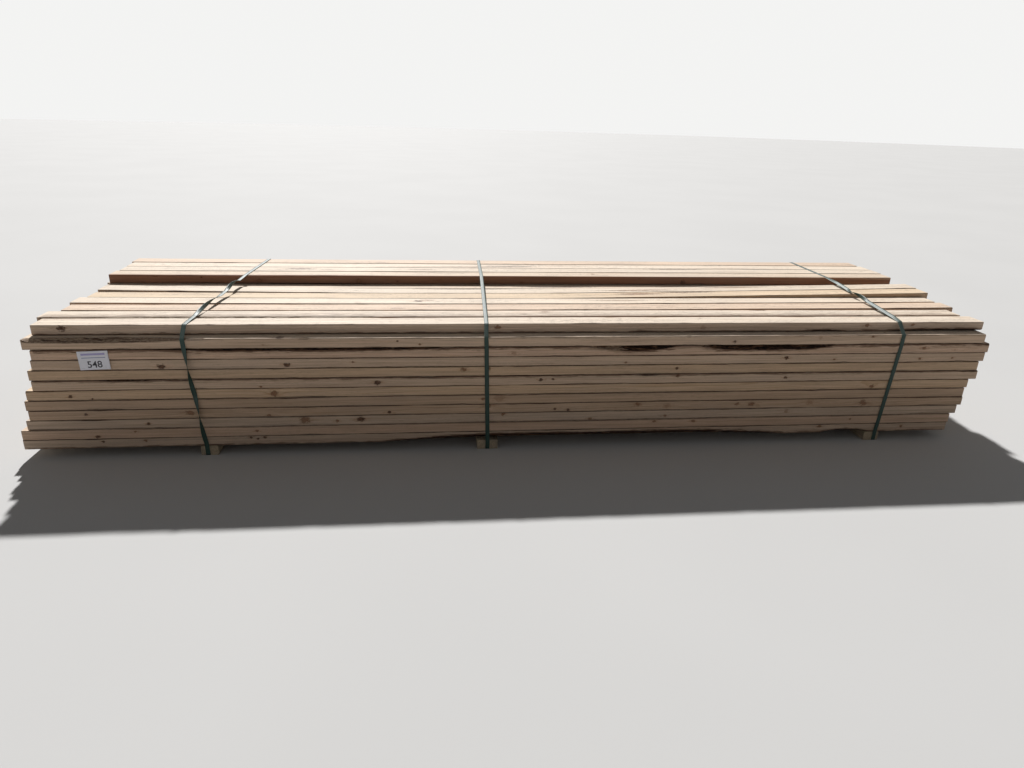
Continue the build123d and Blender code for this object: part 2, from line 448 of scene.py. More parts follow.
def branch_knots() -> bpy.types.NodeTree:
    """Build knots, read from a place in radii off the nearest knot's middle, with its darkness.

    Returns:
        The group.
    """
    group = Group("Branch knots", {"Knot Place": "Vector", "Log Place": "Vector"})
    place = group.given["Log Place"]
    along, across, dark = group.parts(group.given["Knot Place"])
    ragged = (group.noise(place * (0.09, 0.19, 0.19), 3.0, 0.65) - 0.5) * 2.6
    off = group.length(along * 0.80, across) + ragged
    group.give("Knot", off.eased(0.62, 1.10, 1.0, 0.0))
    group.give("Rim", off.eased(0.35, 0.85) * off.eased(0.92, 1.30, 1.0, 0.0))
    fibres = group.noise(place * (0.02, 0.55, 0.55), 3.0, 0.6)
    trail = group.length(along * 0.24, across) + ragged * 0.7
    group.give("Smear", trail.eased(0.15, 1.35, 1.0, 0.0) * fibres.eased(0.36, 0.66))
    flow = group.length(along * 0.36, across)
    group.give("Bulge", group.math("EXPONENT", flow * -1.25) * 10.0)
    group.give("Dark", dark)
    group.give("Mottle", group.noise(place * (0.24, 0.34, 0.34), 3.0, 0.7).eased(0.42, 0.60))
    return group.tree


def yard_weather() -> bpy.types.NodeTree:
    """Build the marks of a lumber yard: grey patches, dark flecks and stains along the grain, and dust.

    Returns:
        The group.
    """
    group = Group("Yard weather", {"Place": "Vector"})
    place = group.given["Place"]
    group.give("Grey", group.noise(place * (2.2, 9.0, 12.0), 4.0, 0.6).eased(0.46, 0.70))
    dashes = group.noise(place * (34.0, 300.0, 300.0), 3.0, 0.7)
    where = group.noise(place * (1.7, 21.0, 30.0), 2.0, 0.6)
    group.give("Flecks", (dashes - 0.18 + where * 0.36).eased(0.57, 0.66))
    group.give("Stain", group.noise(place * (1.1, 60.0, 60.0), 4.0, 0.65).eased(0.57, 0.74))
    group.give("Dust", group.noise(place * (420.0, 420.0, 420.0), 2.0, 0.6))
    return group.tree


def saw_marks() -> bpy.types.NodeTree:
    """Build the scores that a blade leaves across a face, with torn fibres between them.

    Returns:
        The group.
    """
    group = Group("Saw marks", {"Place": "Vector", "Pitch": "Float"})
    place = group.given["Place"]
    along = group.parts(place)[0]
    cycle = (along + group.noise(place * (9.0, 14.0, 14.0)) * 0.03) / group.given["Pitch"]
    group.give("Scores", group.math("SINE", cycle * (2 * pi)) * 0.5 + 0.5)
    group.give("Fibres", group.noise(place * (60.0, 900.0, 900.0), 3.0, 0.65))
    return group.tree


@dataclass(frozen=True)
class LogTones:
    """Colours of a log's own surface: its bark, and what lies under it."""

    crevice: Colour = (0.012, 0.008, 0.007)
    plate: Colour = (0.062, 0.032, 0.020)
    inner_bark: Colour = (0.210, 0.112, 0.062)
    cambium: Colour = (0.22, 0.145, 0.095)
    bared_wood: Colour = (0.50, 0.37, 0.26)
    dark_fibre: Colour = (0.14, 0.092, 0.062)
    scraped_wood: Colour = (0.66, 0.55, 0.43)


def log_bark(tones: LogTones) -> bpy.types.NodeTree:
    """Build the log's own surface.

    Args:
        tones: the colours of its bark and wood.

    Returns:
        The group: bark where Cover leaves it, and the bare wood under it elsewhere.
    """
    group = Group("Log bark", {"Place": "Vector", "Cover": "Float"})
    place, cover = group.given["Place"], group.given["Cover"]
    plates = group.wire("TexVoronoi", {"Vector": place * (38.0, 150.0, 150.0), "Scale": 1.0},
                        feature="DISTANCE_TO_EDGE")
    crumbs = group.noise(place * (90.0, 300.0, 300.0), 4.0, 0.7)
    streaks = group.noise(place * (13.0, 150.0, 150.0), 4.0, 0.68)
    patches = group.noise(place * (11.0, 62.0, 62.0), 3.0, 0.6)
    covered = ((patches - 0.5) * 2.8 + cover).eased(0.38, 0.60)
    scales = group.mix(plates.eased(0.02, 0.3), tones.crevice, tones.plate)
    scales = group.mix(streaks.eased(0.50, 0.66), scales, tones.inner_bark)
    bare = group.mix(crumbs.eased(0.38, 0.64), tones.cambium, tones.bared_wood)
    bare = group.mix(streaks.eased(0.52, 0.62), bare, tones.dark_fibre)
    bare = group.mix(cover.eased(-0.5, 0.0, 0.75, 0.0), bare, tones.scraped_wood)
    group.give("Colour", group.mix(covered, bare, scales), "Color")
    group.give("Height", (crumbs * 0.35 + plates * 0.8) * (covered * 0.8 + 0.2))
    group.give("Roughness", covered * 0.25 + 0.62)
    group.give("Fray", (streaks - 0.5) * 14.0)
    return group.tree


class Effects:
    """The shader groups that the finishes share, each built once."""

    def __init__(self) -> None:
        """Build every group."""
        self.rings = growth_rings()
        self.knots = branch_knots()
        self.weather = yard_weather()
        self.saw = saw_marks()
        self.bark = log_bark(LogTones())


def new_finish(name: str) -> tuple[bpy.types.Material, Graph, bpy.types.Node]:
    """Start a material with a Principled shader.

    Args:
        name: the material's name.

    Returns:
        The material, its graph and the shader's node.
    """
    material = bpy.data.materials.new(name)
    material.use_nodes = True
    graph = Graph(material.node_tree)
    graph.tree.nodes.clear()
    shader = graph.node("BsdfPrincipled")
    graph.node("OutputMaterial", {"Surface": Wire(graph, shader.outputs[0])})
    return material, graph, shader


@dataclass(frozen=True)
class PineFinish:
    """Planed pine that has stood in a yard: rings, knots, waney edges and sawn ends, with painted shade on
    its side faces and in its joints.
    """

    early_wood: Colour = (0.760, 0.625, 0.485)
    late_wood: Colour = (0.540, 0.375, 0.240)
    band_wood: Colour = (0.520, 0.375, 0.270)
    heart_wood: Colour = (0.300, 0.160, 0.105)
    knot_wood: Colour = (0.360, 0.200, 0.115)
    knot_core: Colour = (0.190, 0.105, 0.065)
    dead_bark: Colour = (0.045, 0.026, 0.018)
    smear_tint: Colour = (0.66, 0.50, 0.40)
    # painted shade: tints the side faces darker and browner than the tops
    side_shade: Colour = (0.900, 0.812, 0.758)
    grey_wood: Colour = (0.44, 0.40, 0.37)
    stained_wood: Colour = (0.38, 0.27, 0.19)
    fleck: Colour = (0.18, 0.14, 0.11)
    # painted shade in the gaps where one stud lies against the next
    joint_shade: Colour = (0.062, 0.037, 0.024)
    seep: Colour = (0.120, 0.066, 0.040)
    end_tint: Colour = (0.86, 0.78, 0.69)
    end_rings: Colour = (0.33, 0.22, 0.14)
    end_fibres: Colour = (0.72, 0.56, 0.38)
    ring_width: float = 3.1
    planer_pitch: float = 0.0045
    shine: float = 0.10

    def material(self, effects: Effects) -> bpy.types.Material:
        """Build the material that every stud wears.

        Args:
            effects: the shader groups that the finishes share.

        Returns:
            The material.
        """
        material, graph, shader = new_finish("planed_pine")
        place = graph.coordinate("Object")
        facing_x, facing_y, facing_z = graph.parts(graph.coordinate("Normal"))
        end = abs(facing_x).eased(0.55, 0.75)
        side = abs(facing_y).eased(0.4, 0.8)
        top = facing_z.eased(0.4, 0.8)
        log_place = graph.attribute("log_place")
        heart_radius = graph.attribute("timber_tone", "Alpha") * HEART_SCALE
        knots = graph.placed(effects.knots, {
            "Knot Place": graph.attribute("knot_place"), "Log Place": log_place})
        rings = graph.placed(effects.rings, {
            "Log Place": log_place, "Ring Width": self.ring_width, "Bulge": knots["Bulge"],
            "Heart Radius": heart_radius})
        weather = graph.placed(effects.weather, {"Place": place})
        saw = graph.placed(effects.saw, {"Place": place, "Pitch": self.planer_pitch})

        wood = self.grain(graph, rings, heart_radius)
        wood = self.knotted(graph, wood, knots)
        wood = self.weathered(graph, wood, weather, top)
        # painted shade: the side faces get a darker, browner tint than the tops
        wood = graph.mix(side, wood, graph.tint(wood, self.side_shade))
        wood = graph.mix(end, wood, self.sawn_end(graph, wood, rings, saw))
        wood = self.jointed(graph, wood, place)

        depth, cover, beside = graph.parts(graph.attribute("log_edge"))
        bark = graph.placed(effects.bark, {"Place": place, "Cover": cover})
        outside = (depth + bark["Fray"] * depth.eased(0.0, 2.5)).eased(0.5, 1.3)
        seep = (beside + bark["Fray"] * 0.16).eased(0.35, 0.85) * beside.eased(0.0, 0.15)
        wood = graph.mix(seep * (abs(cover) * 0.45 + 0.40), wood, self.seep)
        planed = rings["Late Wood"] * -0.10 + knots["Knot"] * -0.14 + weather["Grey"] * 0.08 + 0.66
        graph.feed(shader, {
            "Base Color": graph.mix(outside, wood, bark["Colour"]),
            "Roughness": graph.wire("Mix", {0: outside, 2: planed, 3: bark["Roughness"]}),
            "Specular IOR Level": self.shine,
            "Normal": self.relief(graph, rings, knots, saw, bark["Height"] * outside, end)})
        return material

    def grain(self, graph: Graph, rings: dict[str, Wire], heart_radius: Wire) -> Wire:
        """Return the colour of clear wood; a wide heart is a strong one.

        Args:
            graph: the material's graph.
            rings: the outputs of the growth rings.
            heart_radius: the radius of the heartwood in millimetres.

        Returns:
            The colour.
        """
        wood = graph.mix(rings["Late Wood"] * 0.55, self.early_wood, self.late_wood)
        wood = graph.tint(wood, graph.attribute("timber_tone", "Color"))
        heart = rings["Heart"] * heart_radius.eased(27.0, 34.0, 0.22, 0.92)
        wood = graph.mix(heart, wood, self.heart_wood)
        wood = graph.mix(rings["Band"].eased(0.50, 0.72, 0.0, 0.42), wood, self.band_wood)
        return graph.tint(wood, rings["Streak"].eased(0.28, 0.72, 0.80, 1.08))

    def knotted(self, graph: Graph, wood: Wire, knots: dict[str, Wire]) -> Wire:
        """Return the wood with its knots and the streaks that trail from them.

        Args:
            graph: the material's graph.
            wood: the colour of the clear wood.
            knots: the outputs of the knots.

        Returns:
            The colour.
        """
        dark, mottle = knots["Dark"], knots["Mottle"]
        smear = knots["Smear"] * dark.eased(0.1, 0.9, 0.30, 0.85)
        wood = graph.mix(smear, wood, graph.tint(wood, self.smear_tint))
        core = graph.mix(mottle, self.knot_wood, self.knot_core)
        core = graph.mix(dark.eased(0.2, 0.7, 0.70, 0.10), core, wood)
        core = graph.mix((mottle * 0.5 + 0.4) * dark.eased(0.65, 1.0), core, self.dead_bark)
        wood = graph.mix(knots["Knot"], wood, core)
        rim = knots["Rim"] * dark.eased(0.3, 1.0, 0.08, 0.80) * (mottle * 0.6 + 0.4)
        return graph.mix(rim, wood, self.dead_bark)

    def weathered(self, graph: Graph, wood: Wire, weather: dict[str, Wire], top: Wire) -> Wire:
        """Return the wood after its time in the yard; upper faces carry more flecks.

        Args:
            graph: the material's graph.
            wood: the colour of the fresh wood.
            weather: the outputs of the yard's weather.
            top: the mask of upper faces.

        Returns:
            The colour.
        """
        wood = graph.mix(weather["Grey"] * (top * 0.04 + 0.16), wood, self.grey_wood)
        wood = graph.mix(weather["Stain"] * (top * -0.08 + 0.28), wood, self.stained_wood)
        wood = graph.mix(weather["Flecks"] * (top * 0.45 + 0.18), wood, self.fleck)
        return graph.tint(wood, weather["Dust"].eased(0.3, 0.7, 0.94, 1.03))

    def sawn_end(self, graph: Graph, wood: Wire, rings: dict[str, Wire], saw: dict[str, Wire]) -> Wire:
        """Return the colour of end grain, which shows its rings more darkly.

        Args:
            graph: the material's graph.
            wood: the colour of the wood beside it.
            rings: the outputs of the growth rings.
            saw: the outputs of the saw marks.

        Returns:
            The colour.
        """
        cut = graph.tint(wood, self.end_tint)
        cut = graph.mix(rings["Late Wood"] * 0.55, cut, self.end_rings)
        return graph.mix(saw["Fibres"].eased(0.45, 0.75, 0.0, 0.25), cut, self.end_fibres)

    def jointed(self, graph: Graph, wood: Wire, place: Wire) -> Wire:
        """Return the wood with painted shade down its eased edges, where one stud lies against the next.

        Args:
            graph: the material's graph.
            wood: the colour of the clean wood.
            place: the place on the object.

        Returns:
            The colour.
        """
        joint = graph.attribute("joint", "Fac")
        swell = graph.noise(place * (4.0, 60.0, 26.0), 4.0, 0.72)
        dark = ((swell - 0.5) * 2.8 + joint).eased(0.36, 0.95) * joint.eased(0.0, 0.2)
        # painted gap shade down the eased edges that lie against other studs
        return graph.mix(dark * 0.95, wood, self.joint_shade)

    def relief(self, graph: Graph, rings: dict[str, Wire], knots: dict[str, Wire], saw: dict[str, Wire],
               bark: Wire, end: Wire) -> Wire:
        """Return the normal of the surface.

        Args:
            graph: the material's graph.
            rings: the outputs of the growth rings, whose late wood stands up.
            knots: the outputs of the knots, whose rims are open.
            saw: the outputs of the saw marks.
            bark: the height of the bark where there is any.
            end: the mask of sawn ends, which are torn more deeply.

        Returns:
            The normal.
        """
        height = rings["Late Wood"] * 0.10 + saw["Scores"] * 0.03 + saw["Fibres"] * (end * 0.5 + 0.12)
        height = height - knots["Rim"] * knots["Dark"] * 0.5
        return graph.bump(bark, 0.0050, graph.bump(height, 0.0010))


@dataclass(frozen=True)
class BearerFinish:
    """Rough-sawn softwood, dirtier than the studs."""

    early_wood: Colour = (0.52, 0.42, 0.29)
    late_wood: Colour = (0.30, 0.20, 0.12)
    dirt: Colour = (0.20, 0.17, 0.14)
    ring_width: float = 4.2
    saw_pitch: float = 0.0075
    shine: float = 0.25

    def material(self, effects: Effects) -> bpy.types.Material:
        """Build the material that the bearers wear.

        Args:
            effects: the shader groups that the finishes share.

        Returns:
            The material.
        """
        material, graph, shader = new_finish("rough_sawn_softwood")
        rings = graph.placed(effects.rings, {
            "Log Place": graph.attribute("log_place"), "Ring Width": self.ring_width, "Bulge": 0.0,
            "Heart Radius": 1.0})
        quarter_turn = {"Vector": graph.coordinate("Object"), "Angle": radians(90)}
        turned = graph.wire("VectorRotate", quarter_turn, rotation_type="Z_AXIS")
        weather = graph.placed(effects.weather, {"Place": turned})
        saw = graph.placed(effects.saw, {"Place": turned, "Pitch": self.saw_pitch})
        wood = graph.mix(rings["Late Wood"] * 0.8, self.early_wood, self.late_wood)
        wood = graph.tint(wood, rings["Streak"].eased(0.3, 0.7, 0.78, 1.1))
        scores = saw["Scores"].eased(0.0, 0.5, 0.22, 0.0)
        for dirt in (weather["Grey"] * 0.5, weather["Flecks"] * 0.5, scores):
            wood = graph.mix(dirt, wood, self.dirt)
        graph.feed(shader, {
            "Base Color": wood,
            "Roughness": weather["Grey"] * 0.12 + 0.78,
            "Specular IOR Level": self.shine,
            "Normal": graph.bump(saw["Scores"] * 0.5 + saw["Fibres"] * 0.7, 0.0012)})
        return material


@dataclass(frozen=True)
class StrapFinish:
    """Dark green polyester tape, embossed with small lozenges and scuffed along its edges."""

    green: Colour = (0.008, 0.028, 0.021)
    raised_green: Colour = (0.02, 0.062, 0.046)
    worn: Colour = (0.055, 0.095, 0.078)
    width: float = 16.0
    edge: float = 0.1
    edge_fade: float = 1.3
    lozenge: float = 2.6
    shine: float = 0.40

    def material(self) -> bpy.types.Material:
        """Build the material that the straps wear.

        Returns:
            The material.
        """
        material, graph, shader = new_finish("embossed_strap_tape")
        across, along, _ = graph.parts(graph.wire("UVMap", uv_map="tape"))
        ways = (across + along, across - along)
        waves = [abs(graph.math("SINE", way / self.lozenge * pi)) for way in ways]
        emboss = waves[0] * waves[1]
        scuffs = graph.noise(graph.joined(across * 0.9, along * 0.05), 4.0, 0.7)
        rim = self.width / 2 - self.edge
        edge = abs(across - self.width / 2).eased(rim - self.edge_fade, rim)
        wear = graph.math("MAXIMUM", edge * 0.5, scuffs.eased(0.55, 0.8, 0.0, 0.7))
        colour = graph.mix(wear, self.green, self.worn)
        graph.feed(shader, {
            "Base Color": graph.mix(emboss * 0.35, colour, self.raised_green),
            "Roughness": wear * 0.10 + 0.50,
            "Specular IOR Level": self.shine,
            "Normal": graph.bump(emboss, 0.00010)})
        return material


@dataclass(frozen=True)
class TagFinish:
    """Coated white sheet, a little creased, with a plain coloured band and rule across its head.

    band_span and rule_span are the heights that the stripes cover, margin is how far they end
    from the sheet's sides, and fade is how soft their edges are.
    """

    sheet: Colour = (0.80, 0.79, 0.84)
    grime: Colour = (0.55, 0.52, 0.50)
    band: Colour = (0.34, 0.30, 0.58)
    rule: Colour = (0.13, 0.16, 0.36)
    width: float = 104.0
    band_span: tuple[float, float] = (54.0, 62.0)
    rule_span: tuple[float, float] = (43.5, 46.5)
    margin: float = 12.0
    fade: float = 0.5

    def material(self) -> bpy.types.Material:
        """Build the material that the tag's sheet wears.

        Returns:
            The material.
        """
        material, graph, shader = new_finish("coated_tag_sheet")
        across, up, _ = graph.parts(graph.wire("UVMap", uv_map="sheet"))
        creases = graph.noise(graph.joined(across * 0.05, up * 0.05), 4.0, 0.65)
        dirt = graph.noise(graph.joined(across * 0.35, up * 0.35), 3.0, 0.7)
        colour = graph.mix(dirt.eased(0.55, 0.8, 0.0, 0.35), self.sheet, self.grime)
        colour = graph.mix(self.stripe(across, up, self.band_span) * 0.85, colour, self.band)
        colour = graph.mix(self.stripe(across, up, self.rule_span) * 0.85, colour, self.rule)
        graph.feed(shader, {
            "Base Color": colour,
            "Roughness": creases * 0.2 + 0.35,
            "Normal": graph.bump(creases, 0.0016)})
        return material

    def stripe(self, across: Wire, up: Wire, span: tuple[float, float]) -> Wire:
        """Return the mask of a printed stripe.

        Args:
            across: the place across the sheet.
            up: the place up the sheet.
            span: the heights that the stripe covers.

        Returns:
            The mask, clear of the sheet's side edges.
        """
        low, high = span
        right = self.width - self.margin
        tall = up.eased(low, low + self.fade) * up.eased(high - self.fade, high, 1.0, 0.0)
        past_left = across.eased(self.margin - self.fade, self.margin)
        before_right = across.eased(right, right + self.fade, 1.0, 0.0)
        return tall * past_left * before_right


@dataclass(frozen=True)
class InkFinish:
    """Black printed ink, a little broken where the sheet is creased."""

    ink: Colour = (0.022, 0.020, 0.030)
    rubbed_ink: Colour = (0.30, 0.29, 0.33)

    def material(self) -> bpy.types.Material:
        """Build the material of the tag's number.

        Returns:
            The material.
        """
        material, graph, shader = new_finish("printed_ink")
        broken = graph.noise(graph.coordinate("Object") * (700.0, 700.0, 700.0), 3.0, 0.7)
        graph.feed(shader, {
            "Base Color": graph.mix(broken.eased(0.62, 0.78, 0.0, 0.6), self.ink, self.rubbed_ink),
            "Roughness": broken * 0.2 + 0.35})
        return material


@dataclass(frozen=True)
class StapleFinish:
    """Bright steel wire with a breath of rust."""

    steel: Colour = (0.62, 0.62, 0.63)
    rust: Colour = (0.20, 0.085, 0.035)

    def material(self) -> bpy.types.Material:
        """Build the material of the staples.

        Returns:
            The material.
        """
        material, graph, shader = new_finish("staple_wire")
        spots = graph.noise(graph.coordinate("Object") * (900.0, 900.0, 900.0), 3.0, 0.6)
        rusty = spots.eased(0.58, 0.72)
        graph.feed(shader, {
            "Base Color": graph.mix(rusty, self.steel, self.rust),
            "Roughness": rusty * 0.45 + 0.32,
            "Metallic": rusty * -0.9 + 1.0})
        return material


@dataclass
class CadSolid:
    """One solid of a CAD node, in millimetres."""

    low: Vector
    high: Vector
    corners: list[Vector]
    surface: BVHTree

    @classmethod
    def all_of(cls, node: bpy.types.Object) -> list["CadSolid"]:
        """Return a node's solids, from the near one to the far one.

        Args:
            node: the CAD node's object, whose mesh is left as it is.

        Returns:
            The solids.
        """
        shape = bmesh.new()
        shape.from_mesh(node.data)
        bmesh.ops.remove_doubles(shape, verts=shape.verts, dist=1e-6)
        bmesh.ops.scale(shape, vec=(MILLIMETRES,) * 3, verts=shape.verts)
        left = set(shape.faces)
        solids = []
        while left:
            solids.append(cls.from_faces(cls.touching(left)))
        shape.free()
        return sorted(solids, key=lambda solid: solid.low.y)

    @staticmethod
    def touching(left: set) -> list:
        """Take one face and all that hang together with it out of the faces that are left.

        Args:
            left: the faces that belong to no solid yet.

        Returns:
            The faces of one solid.
        """
        front = [left.pop()]
        found = []
        while front:
            face = front.pop()
            found.append(face)
            beside = {other for edge in face.edges for other in edge.link_faces} & left
            left -= beside
            front += beside
        return found

    @classmethod
    def from_faces(cls, faces: list) -> "CadSolid":
        """Measure the solid that some faces enclose.

        Args:
            faces: all the faces of the solid.

        Returns:
            The solid.
        """
        corners = list({vert for face in faces for vert in face.verts})
        numbers = {vert: number for number, vert in enumerate(corners)}
        places = [vert.co.copy() for vert in corners]
        surface = BVHTree.FromPolygons(places, [[numbers[vert] for vert in face.verts] for face in faces])
        low = Vector([min(place[axis] for place in places) for axis in range(3)])
        high = Vector([max(place[axis] for place in places) for axis in range(3)])
        return cls(low, high, places, surface)


def finished(shape: Shape, name: str, material: bpy.types.Material) -> bpy.types.Object:
    """Turn a shape in millimetres into an object in metres.

    Args:
        shape: the shape, which is let go.
        name: the object's name.
        material: what it wears.

    Returns:
        The object.
    """
    bmesh.ops.scale(shape, vec=(METRES,) * 3, verts=shape.verts)
    mesh = bpy.data.meshes.new(name)
    shape.to_mesh(mesh)
    shape.free()
    mesh.materials.append(material)
    piece = bpy.data.objects.new(name, mesh)
    bpy.context.scene.collection.objects.link(piece)
    return piece


def box_shape(low: Vector, high: Vector) -> Shape:
    """Start a shape as a box between two corners.

    Args:
        low: the lowest corner.
        high: the highest corner.

    Returns:
        The shape.
    """
    shape = bmesh.new()
    bmesh.ops.create_cube(shape, size=1.0)
    bmesh.ops.scale(shape, vec=high - low, verts=shape.verts)
    bmesh.ops.translate(shape, vec=(low + high) / 2, verts=shape.verts)
    return shape


def add_shape(whole: Shape, shape: Shape) -> None:
    """Put a shape into a larger one, and let it go.

    Args:
        whole: the larger shape.
        shape: the shape, which isn't used again.
    """
    single = bpy.data.meshes.new("single")
    shape.to_mesh(single)
    shape.free()
    whole.from_mesh(single)
    bpy.data.meshes.remove(single)


def edges_along(shape: Shape, axis: int) -> list:
    """Return the edges that run along one axis."""
    runs = {edge: edge.verts[1].co - edge.verts[0].co for edge in shape.edges}
    return [edge for edge, run in runs.items() if abs(run[axis]) > 0.99 * run.length]


def round_off(shape: Shape, edges: list, offset: float, segments: int) -> None:
    """Round off some edges."""
    bmesh.ops.bevel(shape, geom=edges, offset=offset, segments=segments, profile=0.5, affect="EDGES",
                    material=-1)


def divide(shape: Shape, place: Vector, across: Vector) -> None:
    """Divide the faces that a plane through a place passes through; across is its normal."""
    everything = shape.verts[:] + shape.edges[:] + shape.faces[:]
    bmesh.ops.bisect_plane(shape, geom=everything, plane_co=place, plane_no=across)


def ripple(along: float, seed: float, wave: float) -> float:
    """Return slow noise from 0 to 1 along a piece, with about one swell each wave."""
    return min(1.0, max(0.0, 0.5 + 0.9 * noise.noise(Vector((along / wave, seed, 3.7 * seed)))))


@dataclass
class Stud:
    """One surfaced stud: planed faces, eased edges, small changes of size and any waney edge.

    cuts is how often it is divided along its length, and waney_cuts how often if it has a waney
    edge. narrowing, thinning and chipping are the most that its width, its thickness and its edges
    lose, and the waves are the lengths over which they change. end_rim is the border of a sawn end,
    and the field after it is how strongly painted gap shade darkens that border. strip is the width
    of the strips beside a waney edge, lanes where its top is divided across, and seep_steps how far
    out a stain is looked for, in shares of its reach. The log fields are how far outside its CAD
    solid a point may lie before it is brought in, over what distance that blends in, and where the
    log's surface is roughest.
    """

    row: int
    slot: int
    last: bool
    solid: CadSolid
    cuts: int
    waney_cuts: int = 260
    narrowing: float = 1.1
    width_wave: float = 900.0
    thinning: float = 0.8
    thickness_wave: float = 500.0
    chipping: float = 4.5
    chip_wave: float = 130.0
    end_rim: float = 3.0
    # share of painted gap shade on the border of each sawn end
    end_rim_shade: float = 0.75
    strip: float = 4.0
    strips_across: int = 10
    strips_up: int = 8
    lanes: tuple[float, ...] = (0.25, 0.42, 0.58, 0.75)
    seep_steps: tuple[float, ...] = (0.10, 0.25, 0.42, 0.62, 0.85)
    log_clearance: float = 0.8
    log_blend: float = 1.2
    log_depth: float = 6.0

    @property
    def place(self) -> tuple[int, int]:
        """The stud's row, and its place from the near face."""
        return self.row, self.slot

    @property
    def low(self) -> Vector:
        """The stud's lowest corner where it lies level."""
        return self.solid.low

    @property
    def high(self) -> Vector:
        """The stud's highest corner where it lies level."""
        return Vector((self.solid.high.x, self.solid.high.y, self.solid.low.z + STUD_THICKNESS))

    @property
    def middle(self) -> Vector:
        """The stud's middle where it lies level."""
        return (self.low + self.high) / 2

    def shape(self) -> Shape:
        """Build the stud's mesh with its attributes.

        Returns:
            The mesh, in millimetres.
        """
        edge = LOG_EDGES.get(self.place)
        shape = box_shape(self.low, self.high)
        round_off(shape, edges_along(shape, 0), EASED_EDGE, 3)
        self.mark_smooth(shape)
        if edge:
            self.cut_strips(shape, edge)
        if self.place in TOP_MARKS:
            self.cut_lanes(shape)
        ends = [face for face in shape.faces if abs(face.normal.x) > 0.9]
        bmesh.ops.inset_region(shape, faces=ends, thickness=self.end_rim, depth=0.0, use_even_offset=True,
                               use_boundary=True)
        cuts = self.waney_cuts if edge else self.cuts
        bmesh.ops.subdivide_edges(shape, edges=edges_along(shape, 0), cuts=cuts, use_grid_fill=True)
        self.add_layers(shape)
        self.set_knots(shape)
        self.set_joints(shape)
        self.chip_edges(shape)
        self.change_size(shape)
        if edge:
            self.follow_log(shape, edge)
        self.set_wood(shape)
        if self.solid.high.z > self.high.z + 0.5:
            self.warp(shape)
        return shape

    @staticmethod
    def add_layers(shape: Shape) -> None:
        """Add the layers that the pine finish reads.

        Args:
            shape: the mesh that gets them.
        """
        shape.verts.layers.float_vector.new("log_place")
        shape.verts.layers.float_vector.new("log_edge")
        shape.verts.layers.float_color.new("timber_tone")
        shape.loops.layers.float_vector.new("knot_place")
        shape.loops.layers.float.new("joint")

    @staticmethod
    def mark_smooth(shape: Shape) -> None:
        """Shade each face smoothly up to the lines where it meets an eased edge.

        Args:
            shape: the stud's mesh.
        """
        for face in shape.faces:
            face.smooth = True
        for edge in shape.edges:
            flat = [max(abs(part) for part in face.normal) > 0.999 for face in edge.link_faces]
            edge.smooth = not any(flat)

    def cut_strips(self, shape: Shape, edge: LogEdge) -> None:
        """Divide both faces beside a waney edge into narrow strips.

        Args:
            shape: the stud's mesh.
            edge: the waney edge.
        """
        corner = self.high.z if edge.upper else self.low.z
        inwards = -self.strip if edge.upper else self.strip
        for count in range(1, self.strips_across + 1):
            divide(shape, Vector((0, self.low.y + self.strip * count, 0)), Vector((0, 1, 0)))
        for count in range(1, self.strips_up + 1):
            divide(shape, Vector((0, 0, corner + inwards * count)), Vector((0, 0, 1)))

    def cut_lanes(self, shape: Shape) -> None:
        """Divide the top into lanes, so that marks can lie side by side on it."""
        for share in self.lanes:
            divide(shape, Vector((0, self.low.y + STUD_WIDTH * share, 0)), Vector((0, 1, 0)))

    def knots_on(self, side: Side) -> tuple[Knot, ...]:
        """Return the knots on one side.

        Args:
            side: which of the long sides.

        Returns:
            The known knots of a near face or a top, and knots drawn by lot elsewhere.
        """
        if side is Side.NEAR and self.slot == 0 and self.row in NEAR_KNOTS:
            return NEAR_KNOTS[self.row]
        if side is Side.TOP and self.place in TOP_MARKS:
            return TOP_MARKS[self.place]
        draw = random.Random(f"{self.row} {self.slot} {side.name}")
        width, growth = (STUD_THICKNESS, 1.0) if side in (Side.NEAR, Side.BACK) else (STUD_WIDTH, 1.25)
        end_margin = 60
        knots = []
        along = draw.uniform(end_margin, 500)
        while along < 2 * BUNDLE_HALF_LENGTH - end_margin:
            radius = draw.choice((3, 4, 5, 6, 8, 10)) * growth
            across = draw.uniform(-0.42, 0.42) * width
            knots.append(Knot(along, across, radius, draw.choice(tuple(Branch))))
            along += draw.uniform(150, 800)
        return tuple(knots)

    def set_knots(self, shape: Shape) -> None:
        """Give each face's corners their place off the nearest knot, in that knot's radii.

        Args:
            shape: the stud's mesh.
        """
        layer = shape.loops.layers.float_vector["knot_place"]
        middle = self.middle
        knots = {side: self.knots_on(side) for side in Side}
        for face in shape.faces:
            side = max(Side, key=lambda way: face.normal.dot(Vector(way.value)))
            axis = 2 if side in (Side.NEAR, Side.BACK) else 1
            centre = face.calc_center_median()
            along, across = centre.x + BUNDLE_HALF_LENGTH, centre[axis] - middle[axis]
            nearest = min(knots[side], key=lambda knot: knot.off(along, across).xy.length)
            for loop in face.loops:
                place = loop.vert.co
                loop[layer] = nearest.off(place.x + BUNDLE_HALF_LENGTH, place[axis] - middle[axis])

    def lies_against(self, near: bool, upper: bool) -> bool:
        """Tell whether a long edge of the stud lies against another stud.

        Args:
            near: whether it is an edge of the near face.
            upper: whether it is an edge of the top.

        Returns:
            True for all but the stack's own outer edges and one edge that stands clear.
        """
        if upper and near and self.slot == 0 and self.row >= FULL_ROWS:
            return False
        if upper and near and self.place == (TOP_ROW, 1):
            return False
        if upper and not near and self.last and self.row == PART_ROW:
            return False
        return upper or self.row > 1 or self.slot > 0

    def off_faces(self, place: Vector) -> tuple[float, float]:
        """Return how far a point is inside the stud's nearer side face, and inside its top or underside."""
        return (min(place.y - self.low.y, self.high.y - place.y),
                min(place.z - self.low.z, self.high.z - place.z))

